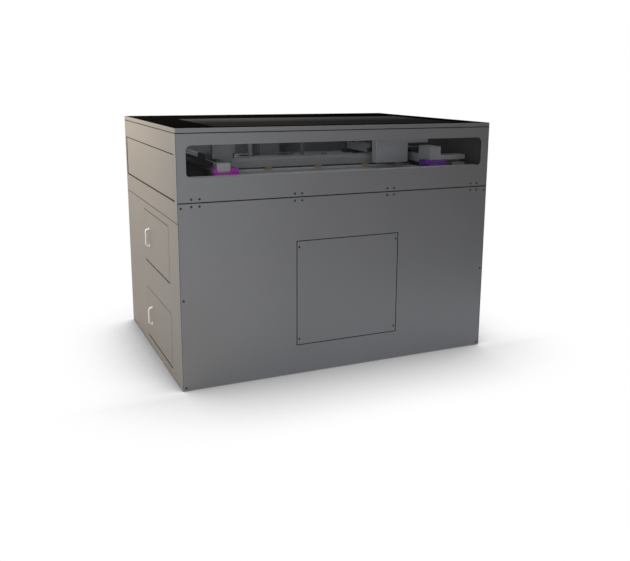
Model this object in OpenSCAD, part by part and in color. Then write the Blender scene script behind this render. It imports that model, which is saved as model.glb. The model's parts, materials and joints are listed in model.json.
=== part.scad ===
// Large-format resin printer: a sheet-metal cabinet on a square-tube frame, with a glazed lid,
// a resin vat, a gantry that carries the recoater and the exposure head, and a rear Z column.
// Every module is drawn from the cabinet's front left bottom corner:
// X to the right along the front, Y to the back, Z up.

/* [Cabinet] */
// Width over the side panels
cab_w = 1500; // [1400:10:1700]
// Depth over the front and back panels
cab_d = 1090; // [1060:10:1250]
// Height from the floor to the top of the lid
cab_h = 1100; // [1095:5:1200]
// Thickness of the sheet-metal panels
skin = 2; // [1.5:0.5:3]
// Dark gap left between two neighbouring panels
seam = 2; // [1:0.5:3]
// Drop from the cabinet's top to the seam between the two front panels
front_seam_drop = 280; // [270:5:320]
// Drop from the cabinet's top to the seam between the two left panels
side_seam_drop = 363; // [320:1:380]
// Side of the square frame tube
tube = 25; // [20:1:30]
// Height of the tall front rail that backs the front seam
seam_rail_h = 60; // [50:2:70]
// Height of the levelling feet
foot_h = 5; // [3:1:15]
// Radius of a levelling foot
foot_r = 22; // [15:1:30]

/* [Window] */
// Distance from the window to either side of the cabinet
window_in = 41; // [35:1:80]
// Drop from the cabinet's top to the window's lower edge
window_drop = 180; // [175:1:185]
// Height of the window opening
window_h = 132; // [100:1:140]
// Corner radius of the window opening
window_r = 24; // [5:1:40]
// Thickness of the window pane
pane_t = 3; // [2:1:5]
// How far the pane laps behind the panel on each side
pane_lap = 10; // [6:1:12]
// Depth of the sill behind the window
sill_d = 53; // [30:1:54]

/* [Access cover] */
// Left edge of the front access opening
cover_x = 517; // [450:1:560]
// Width of the front access opening
cover_w = 503; // [300:1:560]
// Lower edge of the front access opening
cover_z = 134; // [90:1:200]
// Height of the front access opening
cover_h = 474; // [300:1:500]
// Distance from the cover's edge to its side screws
cover_screw_in = 10; // [8:1:12]
// Distance from the cover's edge to its top and bottom screws
cover_screw_end = 28; // [20:1:60]
// Width of the ring that the cover is screwed to, on each side of the gap
cover_ring = 22; // [16:1:30]

/* [Screws] */
// Radius of a screw's button head
head_r = 4.75; // [4:0.25:6]
// Height of a screw's button head
head_h = 2.7; // [2:0.1:3]
// Radius of a screw's shank
shank_r = 2.5; // [2:0.25:3]
// Length of a screw's shank
shank_l = 12; // [8:1:16]
// Distance from the cabinet's side to the middle of the outer seam screws
group_in = 75; // [60:1:120]
// Number of screw groups along the front seam
group_n = 4; // [2:1:6]
// Sideways distance between the two screws of a pair
pair_x = 34; // [20:1:50]
// Distance between the two rows of seam screws
pair_z = 30; // [24:1:36]
// Height of the middle edge screw
edge_screw_z = 395; // [300:5:500]

/* [Doors] */
// Distance from the front to either door opening
door_y = 171; // [140:1:200]
// Width of either door opening
door_w = 500; // [400:5:560]
// Height of either door opening
door_h = 249; // [200:1:255]
// Lower edge of the lower door opening
lower_door_z = 46; // [40:1:80]
// Drop from the seam between the left panels to the upper door opening
upper_door_drop = 37; // [28:1:60]
// Gap on the hinge side of a door
hinge_gap = 4; // [4:0.5:6]
// Depth of the folded edge of a door
fold_d = 12; // [8:1:14]
// Distance from the hatch opening to the cabinet's front
hatch_y = 38; // [36:1:60]
// Distance from the hatch opening to the cabinet's back
hatch_end = 45; // [36:1:80]
// Drop from the cabinet's top to the hatch opening
hatch_drop = 84; // [70:1:100]
// Height of the hatch opening
hatch_h = 193; // [150:1:210]
// Finger gap under the hatch
finger_gap = 6; // [3:1:8]

/* [Hinges and handles] */
// Radius of a concealed hinge's pin
pin_r = 2.5; // [2:0.25:3]
// Wall of a hinge knuckle
knuckle_wall = 2; // [1.5:0.25:3]
// Length of a door's hinge knuckle
knuckle_l = 40; // [20:2:60]
// Distance from a leaf's end to its nearest knuckle
knuckle_in = 34; // [20:1:60]
// Thickness of the arm that holds a hinge pin
arm_t = 5; // [3:1:8]
// Radial play of a pin or a screw in its bore
fit = 0.05; // [0.02:0.01:0.1]
// Clearance between pieces that move past each other
glide = 0.4; // [0.3:0.05:0.6]
// Radius of the handle's rod
rod_r = 4; // [3:0.5:5]
// Radius of the handle's bends
bow_r = 13; // [10:1:20]
// Straight length of the handle's grip
grip_l = 54; // [40:2:100]
// Distance from a door's free edge to its handle
handle_in = 100; // [60:5:140]
// Number of lid hinges
lid_hinge_n = 4; // [2:1:6]
// Distance from the cabinet's side to the outer lid hinges
lid_hinge_in = 200; // [100:10:300]
// Width of a lid hinge
lid_hinge_w = 90; // [60:2:120]

/* [Lid] */
// Height of the lid's rim
lid_t = 18; // [16:1:24]
// Thickness of the lid's dark pane
lid_pane_t = 5; // [4:1:6]
// Width of the ledge under the lid's pane
ledge_w = 25; // [15:1:40]

/* [Deck and vat] */
// Drop from the cabinet's top to the deck's top face
deck_drop = 195; // [190:1:200]
// Thickness of the deck plate
deck_t = 5; // [3:1:6]
// Gap between the vat's rim and the brackets of the Y units
rim_gap = 11; // [5:1:60]
// Distance from the cabinet's back to the inside of the vat
vat_end = 190; // [175:5:260]
// Distance from the cabinet's front to the inside of the vat
vat_y = 150; // [140:1:160]
// Depth of the vat under its rim
vat_h = 230; // [200:5:260]
// Thickness of the vat's wall
vat_t = 3; // [2:0.5:4]
// Width of the vat's rim
rim_w = 17; // [12:1:20]

/* [Y axis] */
// Distance from the cabinet's side to the middle of a Y unit
unit_in = 228; // [224:1:236]
// Width of a Y unit
unit_w = 60; // [56:1:64]
// Height of a Y unit
unit_h = 40; // [38:1:44]
// Wall of a Y unit's channel
unit_wall = 7; // [5:1:8]
// Height of the brackets that carry the Y units
bracket_h = 20; // [18:1:22]
// Width of the brackets that carry the Y units
bracket_w = 122; // [100:2:130]
// Height of the cheeks beside a Y motor, above their bracket
cheek_h = 17; // [6:1:20]
// Distance from the front to the front brackets
bracket_y = 60; // [59:1:64]
// Length of a front bracket
bracket_d = 90; // [80:1:94]
// Distance from the front to the Y motors
motor_y = 100; // [90:1:105]
// Length of a Y motor
motor_l = 60; // [50:1:60]
// Height of the right Y motor, which folds back over its unit
tall_motor_h = 80; // [60:1:84]
// How far the right Y motor reaches back over its unit
tall_motor_l = 45; // [20:1:48]
// Width of the cable box beside the right Y motor
cable_box_w = 138; // [60:1:150]
// Distance from the back to the rear end of a Y unit
unit_end = 90; // [80:5:120]
// Radius of the X and Y drive screws
drive_r = 6; // [5:0.5:7]

/* [Gantry] */
// Distance from the front to the beam's front face
beam_y = 300; // [295:1:310]
// Depth of the beam, front to back
beam_d = 45; // [42:1:48]
// Height of the beam
beam_h = 46; // [44:1:50]
// Gap between the deck and the beam's lower face
beam_gap = 13; // [12:1:16]
// Wall of the beam's channel
beam_wall = 6; // [5:1:7]
// Length of a gantry carriage along Y
carriage_l = 120; // [100:2:130]
// Thickness of a gantry carriage above its unit
carriage_t = 14; // [10:1:18]
// Thickness of the plates that join the beam to its carriages
plate_t = 8; // [6:1:10]
// Width of the X drive housing
drive_w = 106; // [90:1:110]
// Height of the X drive housing
drive_h = 72; // [60:1:76]
// Distance from the drive housing's right side to the edge of its front plate
drive_lip = 13; // [12:1:30]
// Gap between the end of the recoater blade and the vat's side wall
blade_end = 10; // [5:1:60]
// Depth that the blade reaches under the beam
blade_h = 20; // [18:1:21]
// Sideways distance between two blade clamps
clamp_pitch = 250; // [200:10:300]
// Width of a blade clamp
clamp_w = 30; // [20:1:40]

/* [Print head] */
// Distance from the resting print head to the right Y unit
head_gap = 39; // [39:1:150]
// Width of the print head
head_w = 177; // [150:1:177]
// Depth of the print head's housing
head_d = 44; // [40:1:50]
// Height of the print head's housing
head_hh = 142; // [100:1:150]
// How far the print head's hood reaches beyond its right side
hood_over = 106; // [0:1:120]
// Gap between the hood and the right Y motor under it
hood_gap = 10; // [4:1:14]
// Depth of the print head behind its front housing
engine_d = 50; // [20:1:52]
// Radius of the lens barrel
lens_r = 18; // [12:1:19]

/* [Z axis] */
// Gap between the build platform and the vat's side walls
platform_side = 30; // [20:5:80]
// Gap between the build platform and the vat's front wall
platform_front = 32; // [20:1:80]
// Gap between the build platform and the vat's rear wall
platform_rear = 58; // [50:1:100]
// Thickness of the build platform
platform_t = 8; // [6:1:10]
// Travel of the build platform
z_travel = 150; // [100:5:150]
// Radius of the Z drive screw
z_screw_r = 8; // [6:0.5:9]
// Width of the Z column
column_w = 120; // [110:2:130]
// Depth of the Z column
column_d = 60; // [50:1:64]
// Length of the Z column below the deck
column_drop = 405; // [380:5:450]
// Distance between the two hanger arms
arm_gap = 300; // [240:10:340]
// Width of a hanger arm
arm_w = 20; // [15:1:30]

/* [Services] */
// Side of the exhaust fan
fan_w = 120; // [92:1:140]
// Number of fan blades
fan_n = 7; // [5:1:9]
// Distance from the left side to the fan's middle
fan_x = 260; // [200:5:400]
// Height of the fan's middle
fan_z = 560; // [400:5:600]
// Distance from the left side to the mains inlet
inlet_x = 260; // [150:5:400]
// Height of the mains inlet
inlet_z = 180; // [120:5:300]

/* [Hidden] */
$fn = 48;

powder_grey = [0.42, 0.43, 0.45];
frame_grey = [0.30, 0.31, 0.33];
alu = [0.72, 0.73, 0.75];
purple = [0.45, 0.08, 0.55];
black = [0.05, 0.05, 0.06];
brass = [0.72, 0.58, 0.34];

// The origin is under the middle of the whole object, handles included
handle_reach = bow_r + 2 * rod_r;
mid_x = (cab_w - handle_reach) / 2;
mid_y = cab_d / 2;

// Levels from the floor up
lid_z = cab_h - lid_t;
cab_top = lid_z - seam;
front_seam_z = cab_top - front_seam_drop;
side_seam_z = cab_top - side_seam_drop;
upper_door_z = side_seam_z - upper_door_drop - door_h;
hatch_z = cab_top - hatch_drop - hatch_h;
window_z = cab_top - window_drop;
deck_z = cab_top - deck_drop;
rail_z = foot_h;
top_rail_z = cab_top - tube;
deck_rail_z = deck_z - deck_t - tube;
unit_z = deck_z + bracket_h;
unit_top = unit_z + unit_h;
beam_z = deck_z + beam_gap;
beam_top = beam_z + beam_h;
carriage_top = unit_top + glide + carriage_t;
vat_bottom = deck_z - vat_h;
rim_top = deck_z + vat_t;

// Places across and along the cabinet
xc = cab_w / 2;
post_y = cab_d - skin - tube;
unit_l = cab_d - unit_end - motor_y - motor_l;
unit_y = motor_y + motor_l;
unit_back = unit_y + unit_l;
beam_x = unit_in + unit_w / 2 + 5;
beam_l = cab_w - 2 * beam_x;
beam_back = beam_y + beam_d;
x_screw_y = beam_y + beam_d / 2;
x_screw_z = beam_z + 2 * beam_wall + 17;
y_screw_z = unit_z + unit_wall + 17;
drive_x = unit_in + 3;
vat_x = unit_in + bracket_w / 2 + rim_gap + rim_w + vat_t;
vat_w = cab_w - 2 * vat_x;
vat_back = cab_d - vat_end;
blade_w = vat_w - 2 * blade_end;
platform_w = vat_w - 2 * platform_side;
platform_y = vat_y + platform_front;
platform_back = vat_back - platform_rear;
platform_d = platform_back - platform_y;
platform_z = rim_top - 20;
arm_z = rim_top + z_travel + 7;
column_y = post_y - column_d;
z_screw_y = column_y - 18;
z_plate_y = z_screw_y - 30;
yoke_y = z_plate_y - 12;

// Concealed hinge: how far its pin lies behind the panel's face and inside the leaf's edge
knuckle_r = pin_r + knuckle_wall;
pin_in = skin + knuckle_r;

module place() translate([-mid_x, -mid_y, 0]) children();

module block(from, to) translate(from) cube(to - from);

module mirrored() {
    children();
    translate([cab_w, 0, 0]) mirror([1, 0, 0]) children();
}

// Rectangle with rounded corners, its lower left corner at the origin
module rounded_slot(w, h, r) {
    translate([r, 0]) square([w - 2 * r, h]);
    translate([0, r]) square([w, h - 2 * r]);
    for (x = [r, w - r], y = [r, h - r]) translate([x, y]) circle(r);
}

// Slot with half-round ends, its middle at the origin
module vent_slot(l, h) {
    square([l - h, h], center = true);
    for (s = [-1, 1]) translate([s * (l - h) / 2, 0]) circle(h / 2);
}

// A flat sheet standing in the XZ plane, its front face at y
module front_sheet(y, t) translate([0, y + t, 0]) rotate([90, 0, 0]) linear_extrude(t) children();

// A flat sheet standing in the YZ plane, its left face at x
module side_sheet(x, t) translate([x, 0, 0]) rotate([90, 0, 90]) linear_extrude(t) children();

module bore_x(r, y, z, from, to) translate([from, y, z]) rotate([0, 90, 0]) cylinder(r = r, h = to - from);
module bore_y(r, x, z, from, to) translate([x, from, z]) rotate([-90, 0, 0]) cylinder(r = r, h = to - from);

// ---------- Frame ----------

module levelling_feet() color(black) place()
    for (x = [foot_in, cab_w - foot_in], y = [foot_in, cab_d - foot_in]) translate([x, y, 0]) {
        cylinder(r = foot_r, h = foot_h * 0.6);
        cylinder(r = foot_r * 0.7, h = foot_h);
    }
foot_in = skin + foot_r + 2;

edge_screw_x = [skin + tube / 2, cab_w - skin - tube / 2];
edge_screw_heights = [rail_z + 10, edge_screw_z, front_seam_z - 20];
group_pitch = (cab_w - 2 * group_in) / (group_n - 1);

module at_edge_screws() for (x = edge_screw_x, z = edge_screw_heights) translate([x, 0, z]) children();
module at_seam_screws(rows = [-1, 1])
    for (i = [0:group_n - 1], sx = [-1, 1], sz = rows)
        translate([group_in + i * group_pitch + sx * pair_x / 2, 0, front_seam_z + sz * pair_z / 2])
            children();
module at_cover_screws()
    for (x = [cover_x + seam + cover_screw_in, cover_x + cover_w - seam - cover_screw_in],
         z = [cover_z + cover_screw_end, cover_z + cover_h - cover_screw_end])
        translate([x, 0, z]) children();
module screw_hole(r, depth) translate([0, -1, 0]) rotate([-90, 0, 0]) cylinder(r = r, h = depth + 1, $fn = 24);

module frame_posts() color(frame_grey) place() difference() {
    for (x = [skin, cab_w - skin - tube], y = [skin, post_y])
        block([x, y, rail_z], [x + tube, y + tube, cab_top]);
    at_edge_screws() screw_hole(shank_r, shank_l);
}

module frame_rails() color(frame_grey) place() {
    difference() {
        for (y = [skin, post_y]) {
            for (z = [rail_z, top_rail_z, deck_rail_z])
                block([skin + tube, y, z], [cab_w - skin - tube, y + tube, z + tube]);
            block([skin + tube, y, front_seam_z - seam_rail_h / 2],
                  [cab_w - skin - tube, y + tube, front_seam_z + seam_rail_h / 2]);
        }
        at_seam_screws() screw_hole(shank_r, shank_l);
    }
    for (x = [skin, cab_w - skin - tube], z = [rail_z, side_seam_z - tube / 2, top_rail_z])
        block([x, skin + tube, z], [x + tube, post_y, z + tube]);
    mirrored() block([vat_x - vat_t - tube - 7, skin + tube, deck_rail_z],
                     [vat_x - vat_t - 7, post_y, deck_rail_z + tube]);
}

module base_pan() color(frame_grey) place()
    block([skin + tube + 1, skin + 2, rail_z + tube],
          [cab_w - skin - tube - 1, cab_d - skin - 2, rail_z + tube + skin]);

// ---------- Cabinet panels ----------

front_l = skin + 1;
front_w = cab_w - 2 * front_l;
panel_z = 3;

module front_upper_panel() color(powder_grey) place() difference() {
    front_sheet(0, skin) difference() {
        translate([front_l, front_seam_z + seam / 2]) square([front_w, cab_top - front_seam_z - seam / 2]);
        translate([window_in, window_z]) rounded_slot(cab_w - 2 * window_in, window_h, window_r);
    }
    at_seam_screws([1]) screw_hole(shank_r, skin + 1);
}

module front_lower_panel() color(powder_grey) place() difference() {
    front_sheet(0, skin) difference() {
        translate([front_l, panel_z]) square([front_w, front_seam_z - seam / 2 - panel_z]);
        translate([cover_x, cover_z]) square([cover_w, cover_h]);
    }
    at_seam_screws([-1]) screw_hole(shank_r, skin + 1);
    at_edge_screws() screw_hole(shank_r, skin + 1);
}

module left_upper_panel() color(powder_grey) place() side_sheet(0, skin) difference() {
    translate([0, side_seam_z + seam / 2]) square([cab_d, cab_top - side_seam_z - seam / 2]);
    translate([hatch_y, hatch_z]) square([cab_d - hatch_y - hatch_end, hatch_h]);
}

module left_lower_panel() color(powder_grey) place() side_sheet(0, skin) difference() {
    translate([0, panel_z]) square([cab_d, side_seam_z - seam / 2 - panel_z]);
    for (z = [lower_door_z, upper_door_z]) translate([door_y, z]) square([door_w, door_h]);
}

module right_panel() color(powder_grey) place()
    block([cab_w - skin, 0, panel_z], [cab_w, cab_d, cab_top]);

vent_l = 84;
vent_h = 6;
vent_n = 7;
inlet_w = 28;
inlet_h = 62;
module back_panel() color(powder_grey) place() front_sheet(cab_d - skin, skin) difference() {
    translate([front_l, panel_z]) square([front_w, cab_top - panel_z]);
    for (x = [fan_x, cab_w - fan_x], i = [0:vent_n - 1])
        translate([x, fan_z + (i - (vent_n - 1) / 2) * 2 * vent_h]) vent_slot(vent_l, vent_h);
    translate([inlet_x - inlet_w / 2, inlet_z - inlet_h / 2]) square([inlet_w, inlet_h]);
}

module window_pane() color([0.25, 0.27, 0.28, 0.5]) place() front_sheet(skin, pane_t)
    translate([window_in - pane_lap, window_z - pane_lap])
        rounded_slot(cab_w - 2 * window_in + 2 * pane_lap, window_h + 2 * pane_lap, 4);

module window_sill() color(alu) place() {
    sill_y = skin + pane_t;
    block([window_in, sill_y, window_z - skin], [cab_w - window_in, sill_y + sill_d, window_z]);
    block([window_in, sill_y + sill_d - skin, deck_z],
          [cab_w - window_in, sill_y + sill_d, window_z - skin / 2]);
}

module access_cover() color(powder_grey) place() difference() {
    block([cover_x + seam, 0, cover_z + seam],
          [cover_x + cover_w - seam, skin, cover_z + cover_h - seam]);
    at_cover_screws() screw_hole(shank_r, skin + 1);
}

module cover_ring_frame() color(frame_grey) place() difference() {
    front_sheet(skin, skin) difference() {
        translate([cover_x - cover_ring, cover_z - cover_ring])
            square([cover_w + 2 * cover_ring, cover_h + 2 * cover_ring]);
        translate([cover_x + cover_ring, cover_z + cover_ring])
            square([cover_w - 2 * cover_ring, cover_h - 2 * cover_ring]);
    }
    at_cover_screws() screw_hole(shank_r, 3 * skin);
}

module button_screw() difference() {
    rotate([90, 0, 0]) union() {
        translate([0, 0, -shank_l]) cylinder(r = shank_r, h = shank_l, $fn = 24);
        cylinder(r = head_r, h = head_h * 0.4);
        translate([0, 0, head_h * 0.4]) cylinder(r1 = head_r, r2 = head_r * 0.62, h = head_h * 0.6);
    }
    rotate([90, 0, 0]) translate([0, 0, head_h * 0.35]) cylinder(r = head_r * 0.38, h = head_h, $fn = 6);
}

module panel_screws() color(black) place() {
    at_edge_screws() button_screw();
    at_seam_screws() button_screw();
    at_cover_screws() button_screw();
}

// ---------- Concealed hinges ----------
// Drawn about the pin: X inwards, Y towards the leaf's free edge, Z along the pin.

arm_far = knuckle_r + 4.5 + 6;

module hinge_arm() linear_extrude(arm_t) {
    circle(r = knuckle_r - 0.5);
    translate([0, -pin_r - 0.5]) square([arm_far, pin_r + knuckle_r]);
    translate([arm_far - 6, -25]) square([6, 25 + pin_r]);
    translate([skin - pin_in, -25]) square([arm_far - skin + pin_in, 6]);
}

module hinge_seat(l) {
    translate([0, 0, -arm_t - glide]) hinge_arm();
    translate([0, 0, l + glide]) hinge_arm();
    translate([0, 0, -arm_t - glide]) cylinder(r = pin_r, h = l + 2 * (arm_t + glide));
    translate([arm_far - 6, -25, -arm_t - glide]) cube([6, 6, l + 2 * (arm_t + glide)]);
}

module leaf(w, h, knuckles, l) difference() {
    union() {
        block([-pin_in, -knuckle_r, 0], [skin - pin_in, w - knuckle_r, h]);
        for (z = [0, h - skin])
            block([-pin_in, 4 * knuckle_r, z], [fold_d - pin_in, w - knuckle_r, z + skin]);
        block([-pin_in, w - knuckle_r - skin, 0], [fold_d - pin_in, w - knuckle_r, h]);
        for (z = knuckles) translate([0, 0, z]) {
            cylinder(r = knuckle_r, h = l);
            block([skin - pin_in, -knuckle_r, 0], [0, knuckle_r, l]);
        }
    }
    for (z = knuckles) translate([0, 0, z - 1]) cylinder(r = pin_r + fit, h = l + 2);
}

leaf_w = door_w - hinge_gap - seam;
leaf_h = door_h - 2 * seam;
door_knuckles = [knuckle_in, leaf_h - knuckle_in - knuckle_l];
hatch_w = cab_d - hatch_y - hatch_end - 2 * seam;
hatch_leaf_h = hatch_h - hinge_gap - finger_gap;
hatch_knuckles = [knuckle_in, hatch_w / 2 - knuckle_l / 2, hatch_w - knuckle_in - knuckle_l];

module at_door(z) translate([pin_in, door_y + hinge_gap + knuckle_r, z + seam]) children();
module at_hatch()
    translate([pin_in, hatch_y + seam, hatch_z + hatch_h - hinge_gap - knuckle_r]) rotate([-90, 0, 0]) children();

module hinge_arms() color(frame_grey) place() {
    for (z = [lower_door_z, upper_door_z]) at_door(z)
        for (k = door_knuckles) translate([0, 0, k]) hinge_seat(knuckle_l);
    at_hatch() for (k = hatch_knuckles) translate([0, 0, k]) hinge_seat(knuckle_l);
}

module upper_door() color(powder_grey) place() at_door(upper_door_z)
    leaf(leaf_w, leaf_h, door_knuckles, knuckle_l);
module lower_door() color(powder_grey) place() at_door(lower_door_z)
    leaf(leaf_w, leaf_h, door_knuckles, knuckle_l);
module hatch_panel() color(powder_grey) place() at_hatch()
    leaf(hatch_leaf_h, hatch_w, hatch_knuckles, knuckle_l);

// A bow handle on the panel's outer face: two feet, two legs, two bends and a grip
module bow_handle() {
    for (s = [-1, 1]) translate([0, 0, s * (grip_l / 2 + bow_r)]) {
        translate([-1.5, 0, 0]) rotate([0, 90, 0]) cylinder(r = rod_r + 2.5, h = 1.5);
        translate([-rod_r, 0, 0]) rotate([0, 90, 0]) cylinder(r = rod_r, h = rod_r);
        translate([-rod_r, 0, -s * bow_r]) rotate([90, 0, 0]) rotate([0, 0, s > 0 ? 90 : 180])
            rotate_extrude(angle = 90) translate([bow_r, 0]) circle(rod_r, $fn = 24);
    }
    translate([-rod_r - bow_r, 0, -grip_l / 2]) cylinder(r = rod_r, h = grip_l, $fn = 24);
}
handle_y = door_y + door_w - handle_in;
module upper_door_handle() color("white") place()
    translate([0, handle_y, upper_door_z + door_h / 2]) bow_handle();
module lower_door_handle() color("white") place()
    translate([0, handle_y, lower_door_z + door_h / 2]) bow_handle();

// ---------- Lid ----------

module lid_frame() color(powder_grey) place() {
    difference() {
        block([0, 0, lid_z], [cab_w, cab_d, cab_h]);
        block([skin, skin, lid_z - 1], [cab_w - skin, cab_d - skin, cab_h + 1]);
    }
    for (z = [lid_z, cab_h - lid_pane_t - skin]) difference() {
        block([skin / 2, skin / 2, z], [cab_w - skin / 2, cab_d - skin / 2, z + skin]);
        block([ledge_w, ledge_w, z - 1], [cab_w - ledge_w, cab_d - ledge_w, z + skin + 1]);
    }
}

module lid_pane() color(black) place()
    block([skin + 0.5, skin + 0.5, cab_h - lid_pane_t], [cab_w - skin - 0.5, cab_d - skin - 0.5, cab_h - 0.5]);

barrel_r = 4;
leaf_t = 1.5;
barrel_y = cab_d + barrel_r + glide;
barrel_z = lid_z - seam / 2;
lid_hinge_pitch = (cab_w - 2 * lid_hinge_in) / (lid_hinge_n - 1);
third = lid_hinge_w / 3;

module at_lid_hinges()
    for (i = [0:lid_hinge_n - 1])
        translate([lid_hinge_in + i * lid_hinge_pitch - lid_hinge_w / 2, barrel_y, barrel_z]) children();

// Knuckle along X with a web towards its leaf: up is 1 for the lid's leaf and -1 for the cabinet's
module lid_knuckle(x, l, up) translate([x, 0, 0]) {
    rotate([0, 90, 0]) cylinder(r = barrel_r, h = l);
    block([0, -barrel_r - glide, min(0, up * 7)], [l, -barrel_r / 2, max(0, up * 7)]);
}

base_h = 30;
module lid_hinge_bases() color(alu) place() at_lid_hinges() {
    block([0, -barrel_r - glide, -barrel_r - base_h], [lid_hinge_w, leaf_t - barrel_r - glide, -barrel_r - 1.5]);
    lid_knuckle(0, third - glide, -1);
    lid_knuckle(2 * third + glide, third - glide, -1);
    rotate([0, 90, 0]) cylinder(r = barrel_r / 2, h = lid_hinge_w);
}

module lid_hinge_leaves() color(alu) place() at_lid_hinges() difference() {
    union() {
        block([0, -barrel_r - glide, barrel_r + 1.5], [lid_hinge_w, leaf_t - barrel_r - glide, lid_t - 2]);
        lid_knuckle(third, third, 1);
    }
    rotate([0, 90, 0]) cylinder(r = barrel_r / 2 + fit, h = lid_hinge_w);
}

// ---------- Deck and vat ----------

slot_w = arm_gap + arm_w + 20;
slot_y = yoke_y - 5;
module deck_plate() color(alu) place() translate([0, 0, deck_z - deck_t]) linear_extrude(deck_t) difference() {
    translate([skin + tube + 2, skin + pane_t + 1])
        square([cab_w - 2 * (skin + tube + 2), cab_d - 2 * (skin + pane_t + 1)]);
    translate([vat_x - vat_t - 1, vat_y - vat_t - 1]) square([vat_w + 2 * vat_t + 2, vat_back - vat_y + 2 * vat_t + 2]);
    translate([xc - slot_w / 2, slot_y]) square([slot_w, column_y + column_d + 1 - slot_y]);
}

valve_y = vat_y + 150;
valve_r = 14;
module resin_vat() color(alu) place() difference() {
    union() {
        block([vat_x - vat_t, vat_y - vat_t, vat_bottom - vat_t], [vat_x + vat_w + vat_t, vat_back + vat_t, rim_top]);
        block([vat_x - vat_t - rim_w, vat_y - vat_t - rim_w, deck_z],
              [vat_x + vat_w + vat_t + rim_w, vat_back + vat_t + rim_w, rim_top]);
    }
    block([vat_x, vat_y, vat_bottom], [vat_x + vat_w, vat_back, rim_top + 1]);
    translate([xc, valve_y, vat_bottom - vat_t - 1]) cylinder(r = valve_r - 5, h = vat_t + 2);
}

valve_top = vat_bottom - vat_t;
stem_z = valve_top - 28;
stem_r = 4;
module drain_valve() color(brass) place() {
    difference() {
        union() {
            translate([xc, valve_y, valve_top - 56]) cylinder(r = valve_r, h = 56);
            translate([xc, valve_y, valve_top - 4]) cylinder(r = valve_r + 6, h = 4);
            bore_y(valve_r - 4, xc, stem_z, valve_y - valve_r - 8, valve_y);
            translate([xc, valve_y, valve_top - 76]) cylinder(r = valve_r - 4, h = 22);
        }
        translate([xc, valve_y, valve_top - 77]) cylinder(r = valve_r - 6, h = 30);
    }
    bore_y(stem_r, xc, stem_z, valve_y - valve_r - 18, valve_y - valve_r);
}

module valve_lever() color("red") place() translate([0, valve_y - valve_r - 8 - glide - 4, 0]) difference() {
    union() {
        bore_y(valve_r - 4, xc, stem_z, 0, 4);
        block([xc, 0, stem_z - 6], [xc + 70, 4, stem_z + 6]);
        bore_y(6, xc + 70, stem_z, 0, 4);
    }
    bore_y(stem_r + fit, xc, stem_z, -1, 5);
}

// ---------- Y axis ----------

module unit_profile() difference() {
    translate([-unit_w / 2, 0]) square([unit_w, unit_h]);
    translate([unit_wall - unit_w / 2, unit_wall]) square([unit_w - 2 * unit_wall, unit_h]);
    for (s = [-1, 1]) translate([s * unit_w / 2 - 2, unit_h / 2 - 4]) square([4, 8]);
}

module y_units() color(alu) place() mirrored() translate([unit_in, unit_back, unit_z])
    rotate([90, 0, 0]) linear_extrude(unit_l) unit_profile();

cheek_w = (bracket_w - unit_w) / 2;
cheek_y = motor_y - 8;
module unit_brackets() color(purple) place() {
    mirrored() {
        difference() {
            union() {
                block([unit_in - bracket_w / 2, bracket_y, deck_z], [unit_in + bracket_w / 2, bracket_y + bracket_d, unit_z]);
                for (s = [-1, 1]) translate([unit_in + s * (unit_w + cheek_w) / 2, 0, 0])
                    block([-cheek_w / 2, cheek_y, unit_z - 1], [cheek_w / 2, bracket_y + bracket_d, unit_z + cheek_h]);
            }
            for (s = [-1, 1], y = [[bracket_y + 15, unit_z], [bracket_y + bracket_d - 15, unit_z + cheek_h]])
                translate([unit_in + s * (bracket_w / 2 - 12), y[0], y[1] - 8]) cylinder(r = 6, h = 9);
        }
        block([unit_in - bracket_w / 2, unit_back - 60, deck_z], [unit_in + bracket_w / 2, unit_back, unit_z]);
        difference() {
            block([unit_in - unit_w / 2, unit_back, deck_z], [unit_in + unit_w / 2, unit_back + 12, unit_top]);
            bore_y(drive_r + fit, unit_in, y_screw_z, unit_back - 1, unit_back + 13);
        }
    }
    block([cab_w - unit_in - bracket_w / 2, bracket_y + 25, unit_z - 1],
          [cab_w - unit_in + bracket_w / 2, motor_y, unit_z + cheek_h]);
}

// A motor with its cap set in by 2 mm, its middle at the origin of X and its front at the origin of Y
module motor_body(h) {
    block([-unit_w / 2, 3, 0], [unit_w / 2, motor_l, h]);
    block([2 - unit_w / 2, 0, 2], [unit_w / 2 - 2, 4, h - 2]);
}
module y_motors() color(alu) place() {
    difference() {
        translate([unit_in, motor_y, unit_z]) motor_body(unit_h);
        bore_y(drive_r + fit, unit_in, y_screw_z, unit_y - 22, unit_y + 1);
    }
    // The right motor folds back over its unit, with a cable box at its side
    right_x = cab_w - unit_in;
    box_x = right_x + unit_w / 2;
    box_z = unit_z + cheek_h;
    difference() {
        union() {
            translate([right_x, motor_y, unit_z]) motor_body(tall_motor_h);
            block([right_x - unit_w / 2, unit_y - 1, unit_top], [right_x + unit_w / 2, unit_y + tall_motor_l, unit_z + tall_motor_h]);
            block([box_x - 1, motor_y + 2, box_z], [box_x + cable_box_w, unit_y, box_z + 22]);
            block([box_x + cable_box_w - 70, motor_y + 2, deck_z], [box_x + cable_box_w, unit_y, unit_z + 3]);
            block([box_x + cable_box_w - 70, unit_y - 12, unit_z + 2], [box_x + cable_box_w, unit_y, box_z + 1]);
        }
        bore_y(drive_r + fit, right_x, y_screw_z, unit_y - 22, unit_y + 1);
        for (i = [0:3]) block([right_x - unit_w / 2 - 1, unit_y + 2 + i * 10, unit_z + tall_motor_h - 4],
                              [right_x + unit_w / 2 + 1, unit_y + 6 + i * 10, unit_z + tall_motor_h + 1]);
    }
}

module y_screw(x) bore_y(drive_r, x, y_screw_z, unit_y - 20, unit_back + 10);
module y_screw_left() color("silver") place() y_screw(unit_in);
module y_screw_right() color("silver") place() y_screw(cab_w - unit_in);

// ---------- Gantry ----------

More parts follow.
